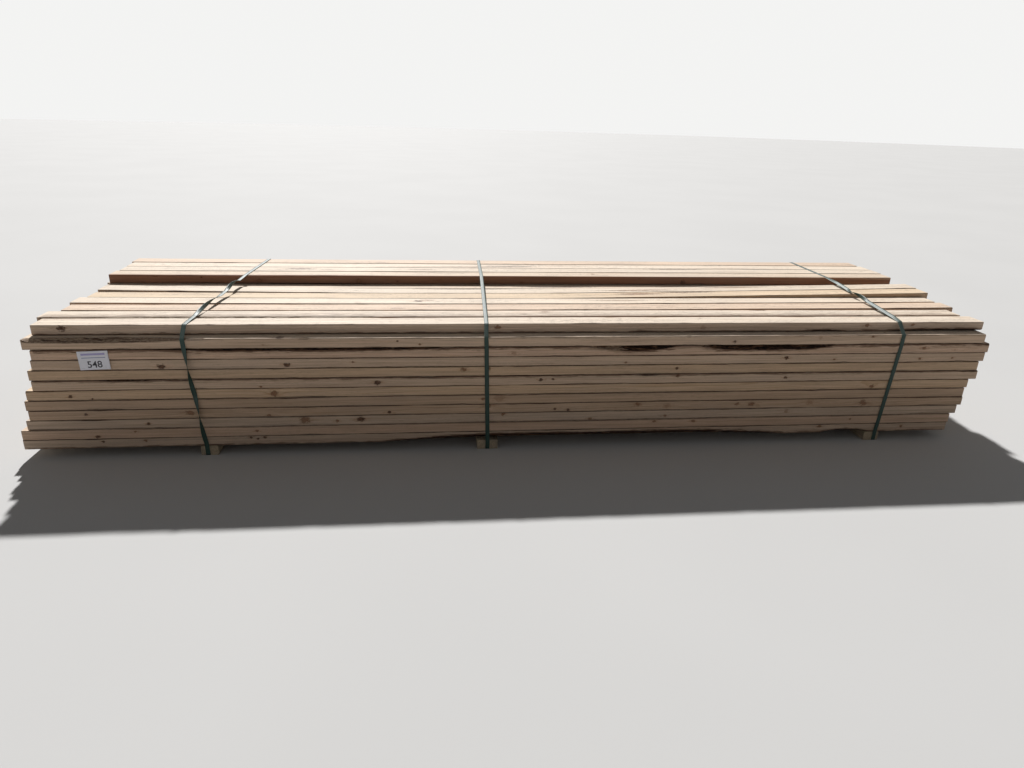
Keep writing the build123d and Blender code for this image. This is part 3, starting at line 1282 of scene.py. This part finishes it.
    def set_joints(self, shape: Shape) -> None:
        """Mark the eased edges that lie against other studs: 1 in their middle and 0 at their borders.

        Args:
            shape: the stud's mesh.
        """
        layer = shape.loops.layers.float["joint"]
        middle = self.middle
        for face in shape.faces:
            if abs(face.normal.x) > 0.9:
                for loop in face.loops:
                    outer = min(self.off_faces(loop.vert.co)) < 0.5 * self.end_rim
                    # painted gap shade on the border of the sawn end
                    loop[layer] = self.end_rim_shade if outer else 0.0
                continue
            if min(abs(face.normal.y), abs(face.normal.z)) < 0.1:
                continue
            centre = face.calc_center_median()
            if self.lies_against(centre.y < middle.y, centre.z > middle.z):
                for loop in face.loops:
                    loop[layer] = 1.0 if min(self.off_faces(loop.vert.co)) > 0.01 else 0.0

    def chip_edges(self, shape: Shape) -> None:
        """Take a little more off the eased edges here and there.

        Args:
            shape: the stud's mesh.
        """
        seed = 3.1 * self.row + 0.7 * self.slot
        middle = self.middle
        for vert in shape.verts:
            side, face = self.off_faces(vert.co)
            if max(side, face) > EASED_EDGE + 0.1:
                continue
            upper = vert.co.z > middle.z
            near = vert.co.y < middle.y
            spot = Vector((vert.co.x / self.chip_wave, seed + 5 * upper, 7.0 * near))
            chip = self.chipping * max(0.0, noise.fractal(spot, 0.8, 2.0, 4) - 0.12)
            depth = chip * (1.0 if min(side, face) < 0.01 else 0.6)
            if side > 0.01:
                vert.co.y += depth if near else -depth
            if face > 0.01:
                vert.co.z -= depth if upper else -depth

    def change_size(self, shape: Shape) -> None:
        """Narrow and thin the stud by up to about a millimetre, unevenly along its length.

        Args:
            shape: the stud's mesh.
        """
        low, high = self.low, self.high
        seed = 10.0 * self.row + self.slot
        for vert in shape.verts:
            near = (high.y - vert.co.y) / (high.y - low.y)
            up = (vert.co.z - low.z) / (high.z - low.z)
            along = vert.co.x
            vert.co.y += self.narrowing * ripple(along, seed, self.width_wave) * near
            vert.co.y -= self.narrowing * ripple(along, seed + 0.3, self.width_wave) * (1 - near)
            vert.co.z -= self.thinning * ripple(along, seed + 0.5, self.thickness_wave) * up
            vert.co.z += self.thinning * ripple(along, seed + 0.7, self.thickness_wave) * (1 - up)

    def follow_log(self, shape: Shape, edge: LogEdge) -> None:
        """Bring the square edge in to the log's surface, and roughen it.

        Args:
            shape: the stud's mesh, whose points get their depth, bark and stain in log_edge.
            edge: the waney edge.
        """
        layer = shape.verts.layers.float_vector["log_edge"]
        shape.normal_update()
        for vert in shape.verts:
            place, normal, outside = self.nearest_wood(vert.co)
            cover = edge.cover_at(vert.co.x + BUNDLE_HALF_LENGTH)
            if outside <= self.log_clearance:
                vert[layer] = (0.0, cover, self.beside_log(vert.co, edge))
                continue
            share = min(1.0, (outside - self.log_clearance) / self.log_blend)
            deep = min(1.0, outside / self.log_depth)
            rough = noise.fractal(vert.co * 0.045, 0.8, 2.1, 5) + 0.6 * noise.noise(vert.co * 0.16)
            settle = (place - vert.co) * share - normal * (edge.relief * deep * (0.25 + 0.9 * rough))
            vert.co.y += settle.y
            vert.co.z += settle.z
            vert[layer] = (outside, cover, 1.0)
        for seam in shape.edges:
            if min(vert[layer].x for vert in seam.verts) > 2.0:
                seam.smooth = True

    def nearest_wood(self, point: Vector) -> tuple[Vector, Vector, float]:
        """Return the CAD solid's nearest point, its normal there, and how far outside it a point is."""
        place, normal, _, _ = self.solid.surface.find_nearest(point)
        return place, normal, (point - place).dot(normal)

    def beside_log(self, point: Vector, edge: LogEdge) -> float:
        """Return how near a point of the sawn faces is to the log's surface.

        Args:
            point: the point.
            edge: the waney edge.

        Returns:
            From 1 beside the log's surface to 0 well away from it.
        """
        corner_z = self.high.z if edge.upper else self.low.z
        up = 1.0 if edge.upper else -1.0
        on_side = point.y < self.low.y + EASED_EDGE
        if not on_side and abs(point.z - corner_z) > 1.5:
            return 0.0
        for share in self.seep_steps:
            step = share * edge.scuff
            if on_side:
                reached = Vector((point.x, self.low.y, min((point.z + up * step) * up, corner_z * up) * up))
            else:
                reached = Vector((point.x, max(point.y - step, self.low.y), corner_z))
            if self.nearest_wood(reached)[2] > 0.6:
                return 1.0 - share
        return 0.0

    def warp(self, shape: Shape) -> None:
        """Raise a warped stud's ends as far as its CAD solid has them.

        Args:
            shape: the stud's mesh.
        """
        start, end = self.low.x + 1, self.high.x - 1
        for vert in shape.verts:
            above = Vector((min(max(vert.co.x, start), end), self.middle.y, self.solid.high.z + 10))
            top = self.solid.surface.ray_cast(above, Vector((0, 0, -1)))[0]
            vert.co.z += top.z - self.high.z

    def pith(self) -> tuple[Vector, Vector]:
        """Return where the pith lies off the stud's middle, and how far it drifts along it.

        Returns:
            The pith's place and its drift over 20 widths of a stud.
        """
        draw = random.Random(f"pith {self.row} {self.slot}")
        if self.place == HEART_STUD:
            return HEART_STUD_PITH
        angle = draw.uniform(0, 2 * pi)
        distance = draw.choice((24, 45, 60, 80, 110))
        drift = Vector((0, draw.uniform(-14, 14), draw.uniform(-9, 9)))
        return Vector((0, distance * cos(angle), distance * sin(angle))), drift

    def timber(self) -> tuple[Timber, float]:
        """Return the stud's shade and the radius of its heartwood.

        Returns:
            The shade, and the radius in millimetres.
        """
        draw = random.Random(f"timber {self.row} {self.slot}")
        shade = draw.choice(tuple(Timber))
        heart = draw.choice((0.0, 0.0, 12.0, 25.0))
        if self.row == PART_ROW:
            return PART_TIMBER[self.slot], HEART_STUD_RADIUS if self.place == HEART_STUD else heart
        if self.row == TOP_ROW and self.slot < len(TOP_TIMBER):
            return TOP_TIMBER[self.slot], 0.0
        if self.slot == 0:
            return NEAR_TIMBER[self.row - 1], 0.0
        return shade, heart

    def set_wood(self, shape: Shape) -> None:
        """Give each point its place in the log and its shade.

        Args:
            shape: the stud's mesh.
        """
        log_layer = shape.verts.layers.float_vector["log_place"]
        tone_layer = shape.verts.layers.float_color["timber_tone"]
        middle = self.middle
        pith, drift = self.pith()
        shade, heart = self.timber()
        light = random.Random(f"light {self.row} {self.slot}").uniform(0.95, 1.04)
        tone = (*(light * part for part in shade.value), max(heart, 1.0) / HEART_SCALE)
        apart = Vector((5000.0 * self.row + 700.0 * self.slot, 0, 0))
        for vert in shape.verts:
            off = vert.co - middle
            vert[log_layer] = off - pith - drift * (off.x / STUD_WIDTH / 20) + apart
            vert[tone_layer] = tone


@dataclass
class StudRow:
    """A row of studs, side by side on the flat; shown_cuts divides those that show most of themselves."""

    number: int
    node: bpy.types.Object
    shown_cuts: int = 120
    hidden_cuts: int = 14

    def build(self, pine: bpy.types.Material) -> bpy.types.Object:
        """Build the row as one piece of separate studs.

        Args:
            pine: the material that the studs wear.

        Returns:
            The piece.
        """
        whole = bmesh.new()
        Stud.add_layers(whole)
        solids = CadSolid.all_of(self.node)
        for slot, solid in enumerate(solids):
            last = slot == len(solids) - 1
            shown = slot == 0 or last or self.number >= TOP_ROW
            cuts = self.shown_cuts if shown else self.hidden_cuts
            add_shape(whole, Stud(self.number, slot, last, solid, cuts).shape())
        return finished(whole, f"studs_row_{self.number:02d}", pine)


@dataclass
class Bearer:
    """A rough-sawn bearer with the strap's groove along its underside.

    roughness is how deep its faces are torn, and pith where the log's pith lies off its middle,
    across and up.
    """

    side: str
    node: bpy.types.Object
    worn_edge: float = 2.2
    roughness: float = 0.9
    cuts: int = 70
    pith: tuple[float, float] = (40.0, -25.0)

    def build(self, wood: bpy.types.Material) -> bpy.types.Object:
        """Build the bearer over its CAD solid.

        Args:
            wood: the material that it wears.

        Returns:
            The piece.
        """
        solid = CadSolid.all_of(self.node)[0]
        groove = [corner for corner in solid.corners if 0.5 < corner.z < solid.high.z - 1]
        low_x = min(corner.x for corner in groove)
        high_x = max(corner.x for corner in groove)
        shape = box_shape(solid.low, solid.high)
        for place in (low_x, high_x):
            divide(shape, Vector((place, 0, 0)), Vector((1, 0, 0)))
        between = [face for face in shape.faces if face.normal.z < -0.9
                   and low_x < face.calc_center_median().x < high_x]
        self.press(shape, between, max(corner.z for corner in groove))
        outer = [edge for edge in edges_along(shape, 1) if edge.calc_face_angle_signed(0) > 1]
        round_off(shape, outer, self.worn_edge, 2)
        bmesh.ops.subdivide_edges(shape, edges=edges_along(shape, 1), cuts=self.cuts, use_grid_fill=True)
        self.dress(shape, (solid.low + solid.high) / 2)
        return finished(shape, f"bearer_{self.side}_sawn", wood)

    @staticmethod
    def press(shape: Shape, faces: list, depth: float) -> None:
        """Sink some faces of the underside to the groove's depth.

        Args:
            shape: the bearer's mesh.
            faces: the faces.
            depth: how deep they come to lie.
        """
        sunk = bmesh.ops.extrude_face_region(shape, geom=faces)
        moved = [part for part in sunk["geom"] if isinstance(part, bmesh.types.BMVert)]
        bmesh.ops.translate(shape, vec=(0, 0, depth), verts=moved)
        bmesh.ops.delete(shape, geom=faces, context="FACES")
        bmesh.ops.recalc_face_normals(shape, faces=shape.faces)

    def dress(self, shape: Shape, middle: Vector) -> None:
        """Roughen the sawn faces and give each point its place in the log.

        Args:
            shape: the bearer's mesh.
            middle: the middle of its CAD solid.
        """
        Stud.add_layers(shape)
        layer = shape.verts.layers.float_vector["log_place"]
        across, up = self.pith
        for vert in shape.verts:
            off = vert.co - middle
            vert[layer] = Vector((off.y + middle.x * 3, off.x - across, off.z - up))
            rough = noise.fractal(vert.co * 0.05, 0.9, 2.0, 4)
            inwards = Vector((-off.x, 0, -off.z)).normalized()
            vert.co += inwards * max(0.0, self.roughness * (0.4 + rough))


@dataclass(frozen=True)
class Twist:
    """A stretch of a strap over which it turns about its own line.

    start and end are measured along the strap from the near top edge of the full rows, up and
    over the top where they are positive, and down the near face where they are negative.
    """

    start: float
    end: float
    turns: float

    def turned(self, along: float) -> float:
        """Return the angle that the strap has turned by at a distance along it."""
        share = min(1.0, max(0.0, (along - self.start) / (self.end - self.start)))
        return 2 * pi * self.turns * share


@dataclass
class Strap:
    """A strap drawn round the bundle and welded in a lap at the back.

    spacing is how far apart the points of its line are, lap how long the lap is, lap_height the
    height that it starts below, and lap_rise the length over which it climbs onto the tape.
    """

    side: str
    node: bpy.types.Object
    twists: tuple[Twist, ...] = ()
    width: float = 16.0
    thickness: float = 0.9
    spacing: float = 5.0
    lap: float = 90.0
    lap_height: float = 300.0
    lap_rise: float = 8.0

    def bends(self) -> list[Vector]:
        """Return the middle of the tape at each bend, round from the underside and up the near face.

        Returns:
            The bends, in order.
        """
        corners = CadSolid.all_of(self.node)[0].corners
        corners.sort(key=lambda corner: atan2(corner.y, corner.z - BUNDLE_MIDDLE_HEIGHT))
        groups: list[list[Vector]] = []
        for corner in corners:
            if groups and (corner - groups[-1][0]).yz.length < 2.0:
                groups[-1].append(corner)
            else:
                groups.append([corner])
        return [sum(group, Vector()) / len(group) for group in groups if len(group) > 2]

    def line(self) -> list[Vector]:
        """Return evenly spaced points along the tape, from its lap at the back round and over itself.

        Returns:
            The points, at the middle of the tape's width.
        """
        bends = self.bends()
        points: list[Vector] = []
        for start, end in zip(bends, bends[1:] + bends[:1]):
            steps = max(1, round((end - start).length / self.spacing))
            points += [start.lerp(end, step / steps) for step in range(steps)]
        back = [number for number, point in enumerate(points)
                if point.y > FACE_SHARE * BUNDLE_HALF_WIDTH and point.z < self.lap_height]
        first = max(back, key=lambda number: points[number].z)
        points = points[first:] + points[:first]
        if points[1].z > points[0].z:
            points = [points[0]] + points[:0:-1]
        return points + points[:round(self.lap / self.spacing)]

    def turns(self, points: list[Vector]) -> list[float]:
        """Return how far the tape has turned about its own line at each point.

        Args:
            points: the tape's line.

        Returns:
            The angles in radians.
        """
        front = [number for number, point in enumerate(points) if point.y < -FACE_SHARE * BUNDLE_HALF_WIDTH]
        edge = max(front, key=lambda number: points[number].z)
        places = [(number - edge) * self.spacing for number in range(len(points))]
        return [sum(twist.turned(along) for twist in self.twists) for along in places]

    def build(self, tape: bpy.types.Material) -> bpy.types.Object:
        """Build the tape as a thin band with its lap.

        Args:
            tape: the material that it wears.

        Returns:
            The piece.
        """
        points = self.line()
        turned = self.turns(points)
        count = len(points)
        lap_start = count - 1 - round(self.lap / self.spacing)
        shape = bmesh.new()
        coordinates = shape.loops.layers.uv.new("tape")
        bmesh.ops.create_grid(shape, x_segments=4, y_segments=count - 1, size=0.5, calc_uvs=False)
        for face in shape.faces:
            face.smooth = True
            for loop in face.loops:
                across = (loop.vert.co.x + 0.5) * self.width
                loop[coordinates].uv = (across, (loop.vert.co.y + 0.5) * count * self.spacing)
        for vert in shape.verts:
            number = round((vert.co.y + 0.5) * (count - 1))
            point = points[number]
            run = (points[min(number + 1, count - 1)] - points[max(number - 1, 0)]).normalized()
            outwards = run.cross(Vector((1, 0, 0))).normalized()
            if outwards.dot(point - Vector((point.x, 0, BUNDLE_MIDDLE_HEIGHT))) < 0:
                outwards.negate()
            flat = Matrix.Rotation(turned[number], 3, run) @ outwards.cross(run).normalized()
            over = max(0, number - lap_start) * self.spacing
            lift = self.thickness * min(1.0, over / self.lap_rise)
            lift += self.width / 2 * abs(sin(turned[number]))
            vert.co = point + flat * (vert.co.x * self.width) + outwards * lift
        bmesh.ops.recalc_face_normals(shape, faces=shape.faces)
        bmesh.ops.solidify(shape, geom=shape.faces[:], thickness=self.thickness)
        return finished(shape, f"tape_{self.side}", tape)


@dataclass
class LotTag:
    """A curled tag with a plain number, stapled to the near face.

    digit_share is how much of a font's size a digit is high, and the ink fields are how far the
    number stands off the sheet, how thick it is and how much its strokes are widened. The curl
    fields are how strongly the sheet lifts, and left_flat how far from its middle it lies flat.
    staple_places lists each staple's place across and up from the tag's middle, and the degrees
    that it is turned by.
    """

    node: bpy.types.Object
    width: float = 104.0
    height: float = 70.0
    thickness: float = 0.3
    turned: float = radians(2)
    corner: float = 2.0
    number: str = "548"
    number_height: float = 25.0
    number_drop: float = 26.6
    digit_share: float = 0.72
    ink_lift: float = 0.22
    ink_thickness: float = 0.06
    ink_weight: float = 0.45
    corner_curl: float = 9.0
    left_curl: float = 26.0
    left_flat: float = 0.28
    crease: float = 0.5
    staple_places: tuple[tuple[float, float, float], ...] = (
        (-40, 29, 8), (39, 28, -12), (-41, -28, 4), (36, -26, 78))
    staple_size: tuple[float, float, float] = (11.0, 0.9, 0.6)
    staple_lift: float = 0.45
    staple_bend: float = 0.6
    staple_sink: float = 1.4

    def curl(self, across: float, up: float) -> float:
        """Return how far the sheet stands off the wood at a place on it.

        Args:
            across: how far to the right of the tag's middle it is.
            up: how far above it.

        Returns:
            The distance.
        """
        lower_right = max(0.0, across / self.width) ** 2 * max(0.0, 0.5 - up / self.height)
        left = max(0.0, -across / self.width - self.left_flat) ** 2
        creased = self.crease * noise.noise(Vector((across, up, 0)) * 0.05)
        return self.corner_curl * lower_right + self.left_curl * left + creased

    def laid(self, across: float, up: float, off: float) -> Vector:
        """Return the place of a point of the tag on the bundle.

        Args:
            across: how far to the right of the tag's middle it is.
            up: how far above it.
            off: how far off the curled sheet.

        Returns:
            The place.
        """
        low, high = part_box(self.node.name)
        middle = (low + high) / 2 * MILLIMETRES
        hung = Vector((middle.x, low.y * MILLIMETRES, middle.z))
        spun = Matrix.Rotation(-self.turned, 3, "Y") @ Vector((across, 0, up))
        return hung + spun - Vector((0, off + self.curl(across, up), 0))

    def sheet(self, coated: bpy.types.Material) -> bpy.types.Object:
        """Build the sheet, with rounded corners.

        Args:
            coated: the material that it wears.

        Returns:
            The piece.
        """
        shape = bmesh.new()
        bmesh.ops.create_grid(shape, x_segments=30, y_segments=20, size=0.5)
        bmesh.ops.scale(shape, vec=(self.width, self.height, 1), verts=shape.verts)
        corners = [vert for vert in shape.verts if len(vert.link_faces) == 1]
        bmesh.ops.bevel(shape, geom=corners, offset=self.corner, segments=3, profile=0.5, affect="VERTICES",
                        material=-1)
        coordinates = shape.loops.layers.uv.new("sheet")
        for face in shape.faces:
            face.smooth = True
            for loop in face.loops:
                loop[coordinates].uv = loop.vert.co.xy + Vector((self.width, self.height)) / 2
        for vert in shape.verts:
            vert.co = self.laid(vert.co.x, vert.co.y, 0.0)
        bmesh.ops.recalc_face_normals(shape, faces=shape.faces)
        bmesh.ops.solidify(shape, geom=shape.faces[:], thickness=self.thickness)
        return finished(shape, "tag_sheet_curled", coated)

    def digits(self, ink: bpy.types.Material) -> bpy.types.Object:
        """Build the plain number as a printed layer that follows the sheet.

        Args:
            ink: the material that it wears.

        Returns:
            The piece.
        """
        words = bpy.data.curves.new("tag_number", "FONT")
        words.body = self.number
        words.size = self.number_height / self.digit_share
        words.align_x = "CENTER"
        words.extrude = self.ink_thickness
        words.offset = self.ink_weight
        holder = bpy.data.objects.new("tag_number_text", words)
        mesh = bpy.data.meshes.new_from_object(holder)
        bpy.data.objects.remove(holder)
        shape = bmesh.new()
        shape.from_mesh(mesh)
        bpy.data.meshes.remove(mesh)
        for vert in shape.verts:
            vert.co = self.laid(vert.co.x, vert.co.y - self.number_drop, self.ink_lift + vert.co.z)
        bmesh.ops.recalc_face_normals(shape, faces=shape.faces)
        return finished(shape, "tag_number", ink)

    def staples(self, wire: bpy.types.Material) -> bpy.types.Object:
        """Build the four staples that hold the tag.

        Args:
            wire: the material that they wear.

        Returns:
            The piece.
        """
        whole = bmesh.new()
        half = Vector(self.staple_size) / 2
        straight = half.x - self.staple_bend
        for across, up, lean in self.staple_places:
            staple = box_shape(-half, half)
            bmesh.ops.subdivide_edges(staple, edges=edges_along(staple, 0), cuts=9, use_grid_fill=True)
            round_off(staple, edges_along(staple, 0), 0.2, 2)
            turn = Matrix.Rotation(radians(lean), 3, "Z")
            for vert in staple.verts:
                sunk = self.staple_sink * max(0.0, abs(vert.co.x) - straight) / self.staple_bend
                flat = turn @ Vector((vert.co.x, vert.co.y, 0))
                vert.co = self.laid(across + flat.x, up + flat.y, self.staple_lift + vert.co.z - sunk)
            bmesh.ops.recalc_face_normals(staple, faces=staple.faces)
            add_shape(whole, staple)
        return finished(whole, "tag_staples", wire)


@dataclass(frozen=True)
class Studio:
    """The floor, the lights and the camera; camera_place is in metres and floor_radius in millimetres."""

    camera_place: tuple[float, float, float] = (-0.378, -3.022, 1.240)
    camera_down: float = radians(21.1)
    camera_turn: float = radians(6.7)
    camera_roll: float = radians(1.68)
    focal_length: float = 24.54
    sensor_width: float = 36.0
    key_direction: tuple[float, float, float] = (0.09, -0.593, -0.512)
    key_strength: float = 5.55
    key_softness: float = radians(2.2)
    sky: Colour = (0.122, 0.124, 0.128)
    backdrop: Colour = (0.90, 0.90, 0.89)
    floor: Colour = (0.52, 0.512, 0.50)
    floor_radius: float = 60000.0

    def build(self) -> None:
        """Set up everything that isn't part of the bundle."""
        self.set_camera()
        self.set_key()
        self.set_world()
        self.lay_floor()
        bpy.context.scene.view_settings.view_transform = "Standard"

    def set_camera(self) -> None:
        """Put the camera where the photograph was taken from."""
        data = bpy.data.cameras.new("camera")
        data.lens = self.focal_length
        data.sensor_width = self.sensor_width
        camera = bpy.data.objects.new("camera", data)
        turn, down, roll = self.camera_turn, self.camera_down, self.camera_roll
        ahead = Vector((sin(turn) * cos(down), cos(turn) * cos(down), -sin(down)))
        level = Vector((cos(turn), -sin(turn), 0))
        above = level.cross(ahead)
        right = level * cos(roll) + above * sin(roll)
        axes = Matrix((right, right.cross(ahead), -ahead)).transposed()
        camera.matrix_world = Matrix.Translation(self.camera_place) @ axes.to_4x4()
        bpy.context.scene.collection.objects.link(camera)
        bpy.context.scene.camera = camera

    def set_key(self) -> None:
        """Hang the key light high behind the bundle."""
        data = bpy.data.lights.new("key", "SUN")
        data.energy = self.key_strength
        data.angle = self.key_softness
        lamp = bpy.data.objects.new("key", data)
        lamp.rotation_mode = "QUATERNION"
        lamp.rotation_quaternion = Vector(self.key_direction).to_track_quat("-Z", "Y")
        bpy.context.scene.collection.objects.link(lamp)

    def set_world(self) -> None:
        """Light evenly from all round, and show the camera a pale backdrop."""
        world = bpy.data.worlds.new("studio")
        world.use_nodes = True
        graph = Graph(world.node_tree)
        graph.tree.nodes.clear()
        rays = graph.node("LightPath").outputs
        camera, glossy, transmission = (
            Wire(graph, rays[name]) for name in ("Is Camera Ray", "Is Glossy Ray", "Is Transmission Ray"))
        seen = graph.math("MAXIMUM", graph.math("MAXIMUM", camera, glossy), transmission)
        colour = graph.mix(seen, self.sky, self.backdrop)
        graph.node("OutputWorld", {"Surface": graph.wire("Background", {"Color": colour, "Strength": 1.0})})
        bpy.context.scene.world = world

    def lay_floor(self) -> None:
        """Lay a wide plain floor."""
        shape = bmesh.new()
        bmesh.ops.create_circle(shape, cap_ends=True, segments=96, radius=self.floor_radius)
        material, graph, shader = new_finish("studio_floor")
        soft = graph.noise(graph.coordinate("Object") * (0.7, 0.7, 0.7))
        graph.feed(shader, {
            "Base Color": graph.tint(self.floor, soft.eased(0.3, 0.7, 0.985, 1.015)),
            "Roughness": 0.9})
        finished(shape, "floor", material)


def add_piece(piece: bpy.types.Object, slot: Optional[str], *nodes: str) -> None:
    """Let a finished piece ride on the bundle, and report it.

    Args:
        piece: the piece.
        slot: the material slot that it belongs to, if any; not used.
        nodes: the names of the CAD nodes that it takes the place of.
    """
    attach(piece, "root")
    if nodes:
        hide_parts(*nodes)
    LOG.info("%s: %d faces", piece.name, len(piece.data.polygons))


def main() -> None:
    """Build the bundle's looks and the studio round it."""
    logging.basicConfig(level=logging.INFO, format="%(message)s")
    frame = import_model()
    nodes = frame["nodes"]
    effects = Effects()

    pine = PineFinish().material(effects)
    for number in range(1, PART_ROW + 1):
        name = f"stud_row_{number:02d}"
        add_piece(StudRow(number, nodes[name]).build(pine), "pine", name)

    sawn = BearerFinish().material(effects)
    tape = StrapFinish().material()
    twists = {
        "left": (Twist(-420, -40, 1.0), Twist(150, 400, 0.5), Twist(470, 620, 0.5)),
        "middle": (),
        "right": (Twist(15, 110, -0.08), Twist(310, 500, -0.5), Twist(600, 700, 0.08)),
    }
    for side, turns in twists.items():
        add_piece(Bearer(side, nodes[f"bearer_{side}"]).build(sawn), "bearer_wood", f"bearer_{side}")
        add_piece(Strap(side, nodes[f"strap_{side}"], turns).build(tape), "strap_tape", f"strap_{side}")

    tag = LotTag(nodes["lot_tag"])
    add_piece(tag.sheet(TagFinish().material()), "tag_sheet", "lot_tag")
    add_piece(tag.digits(InkFinish().material()), "tag_sheet")
    add_piece(tag.staples(StapleFinish().material()), None)

    Studio().build()


if __name__ == "__main__":
    main()
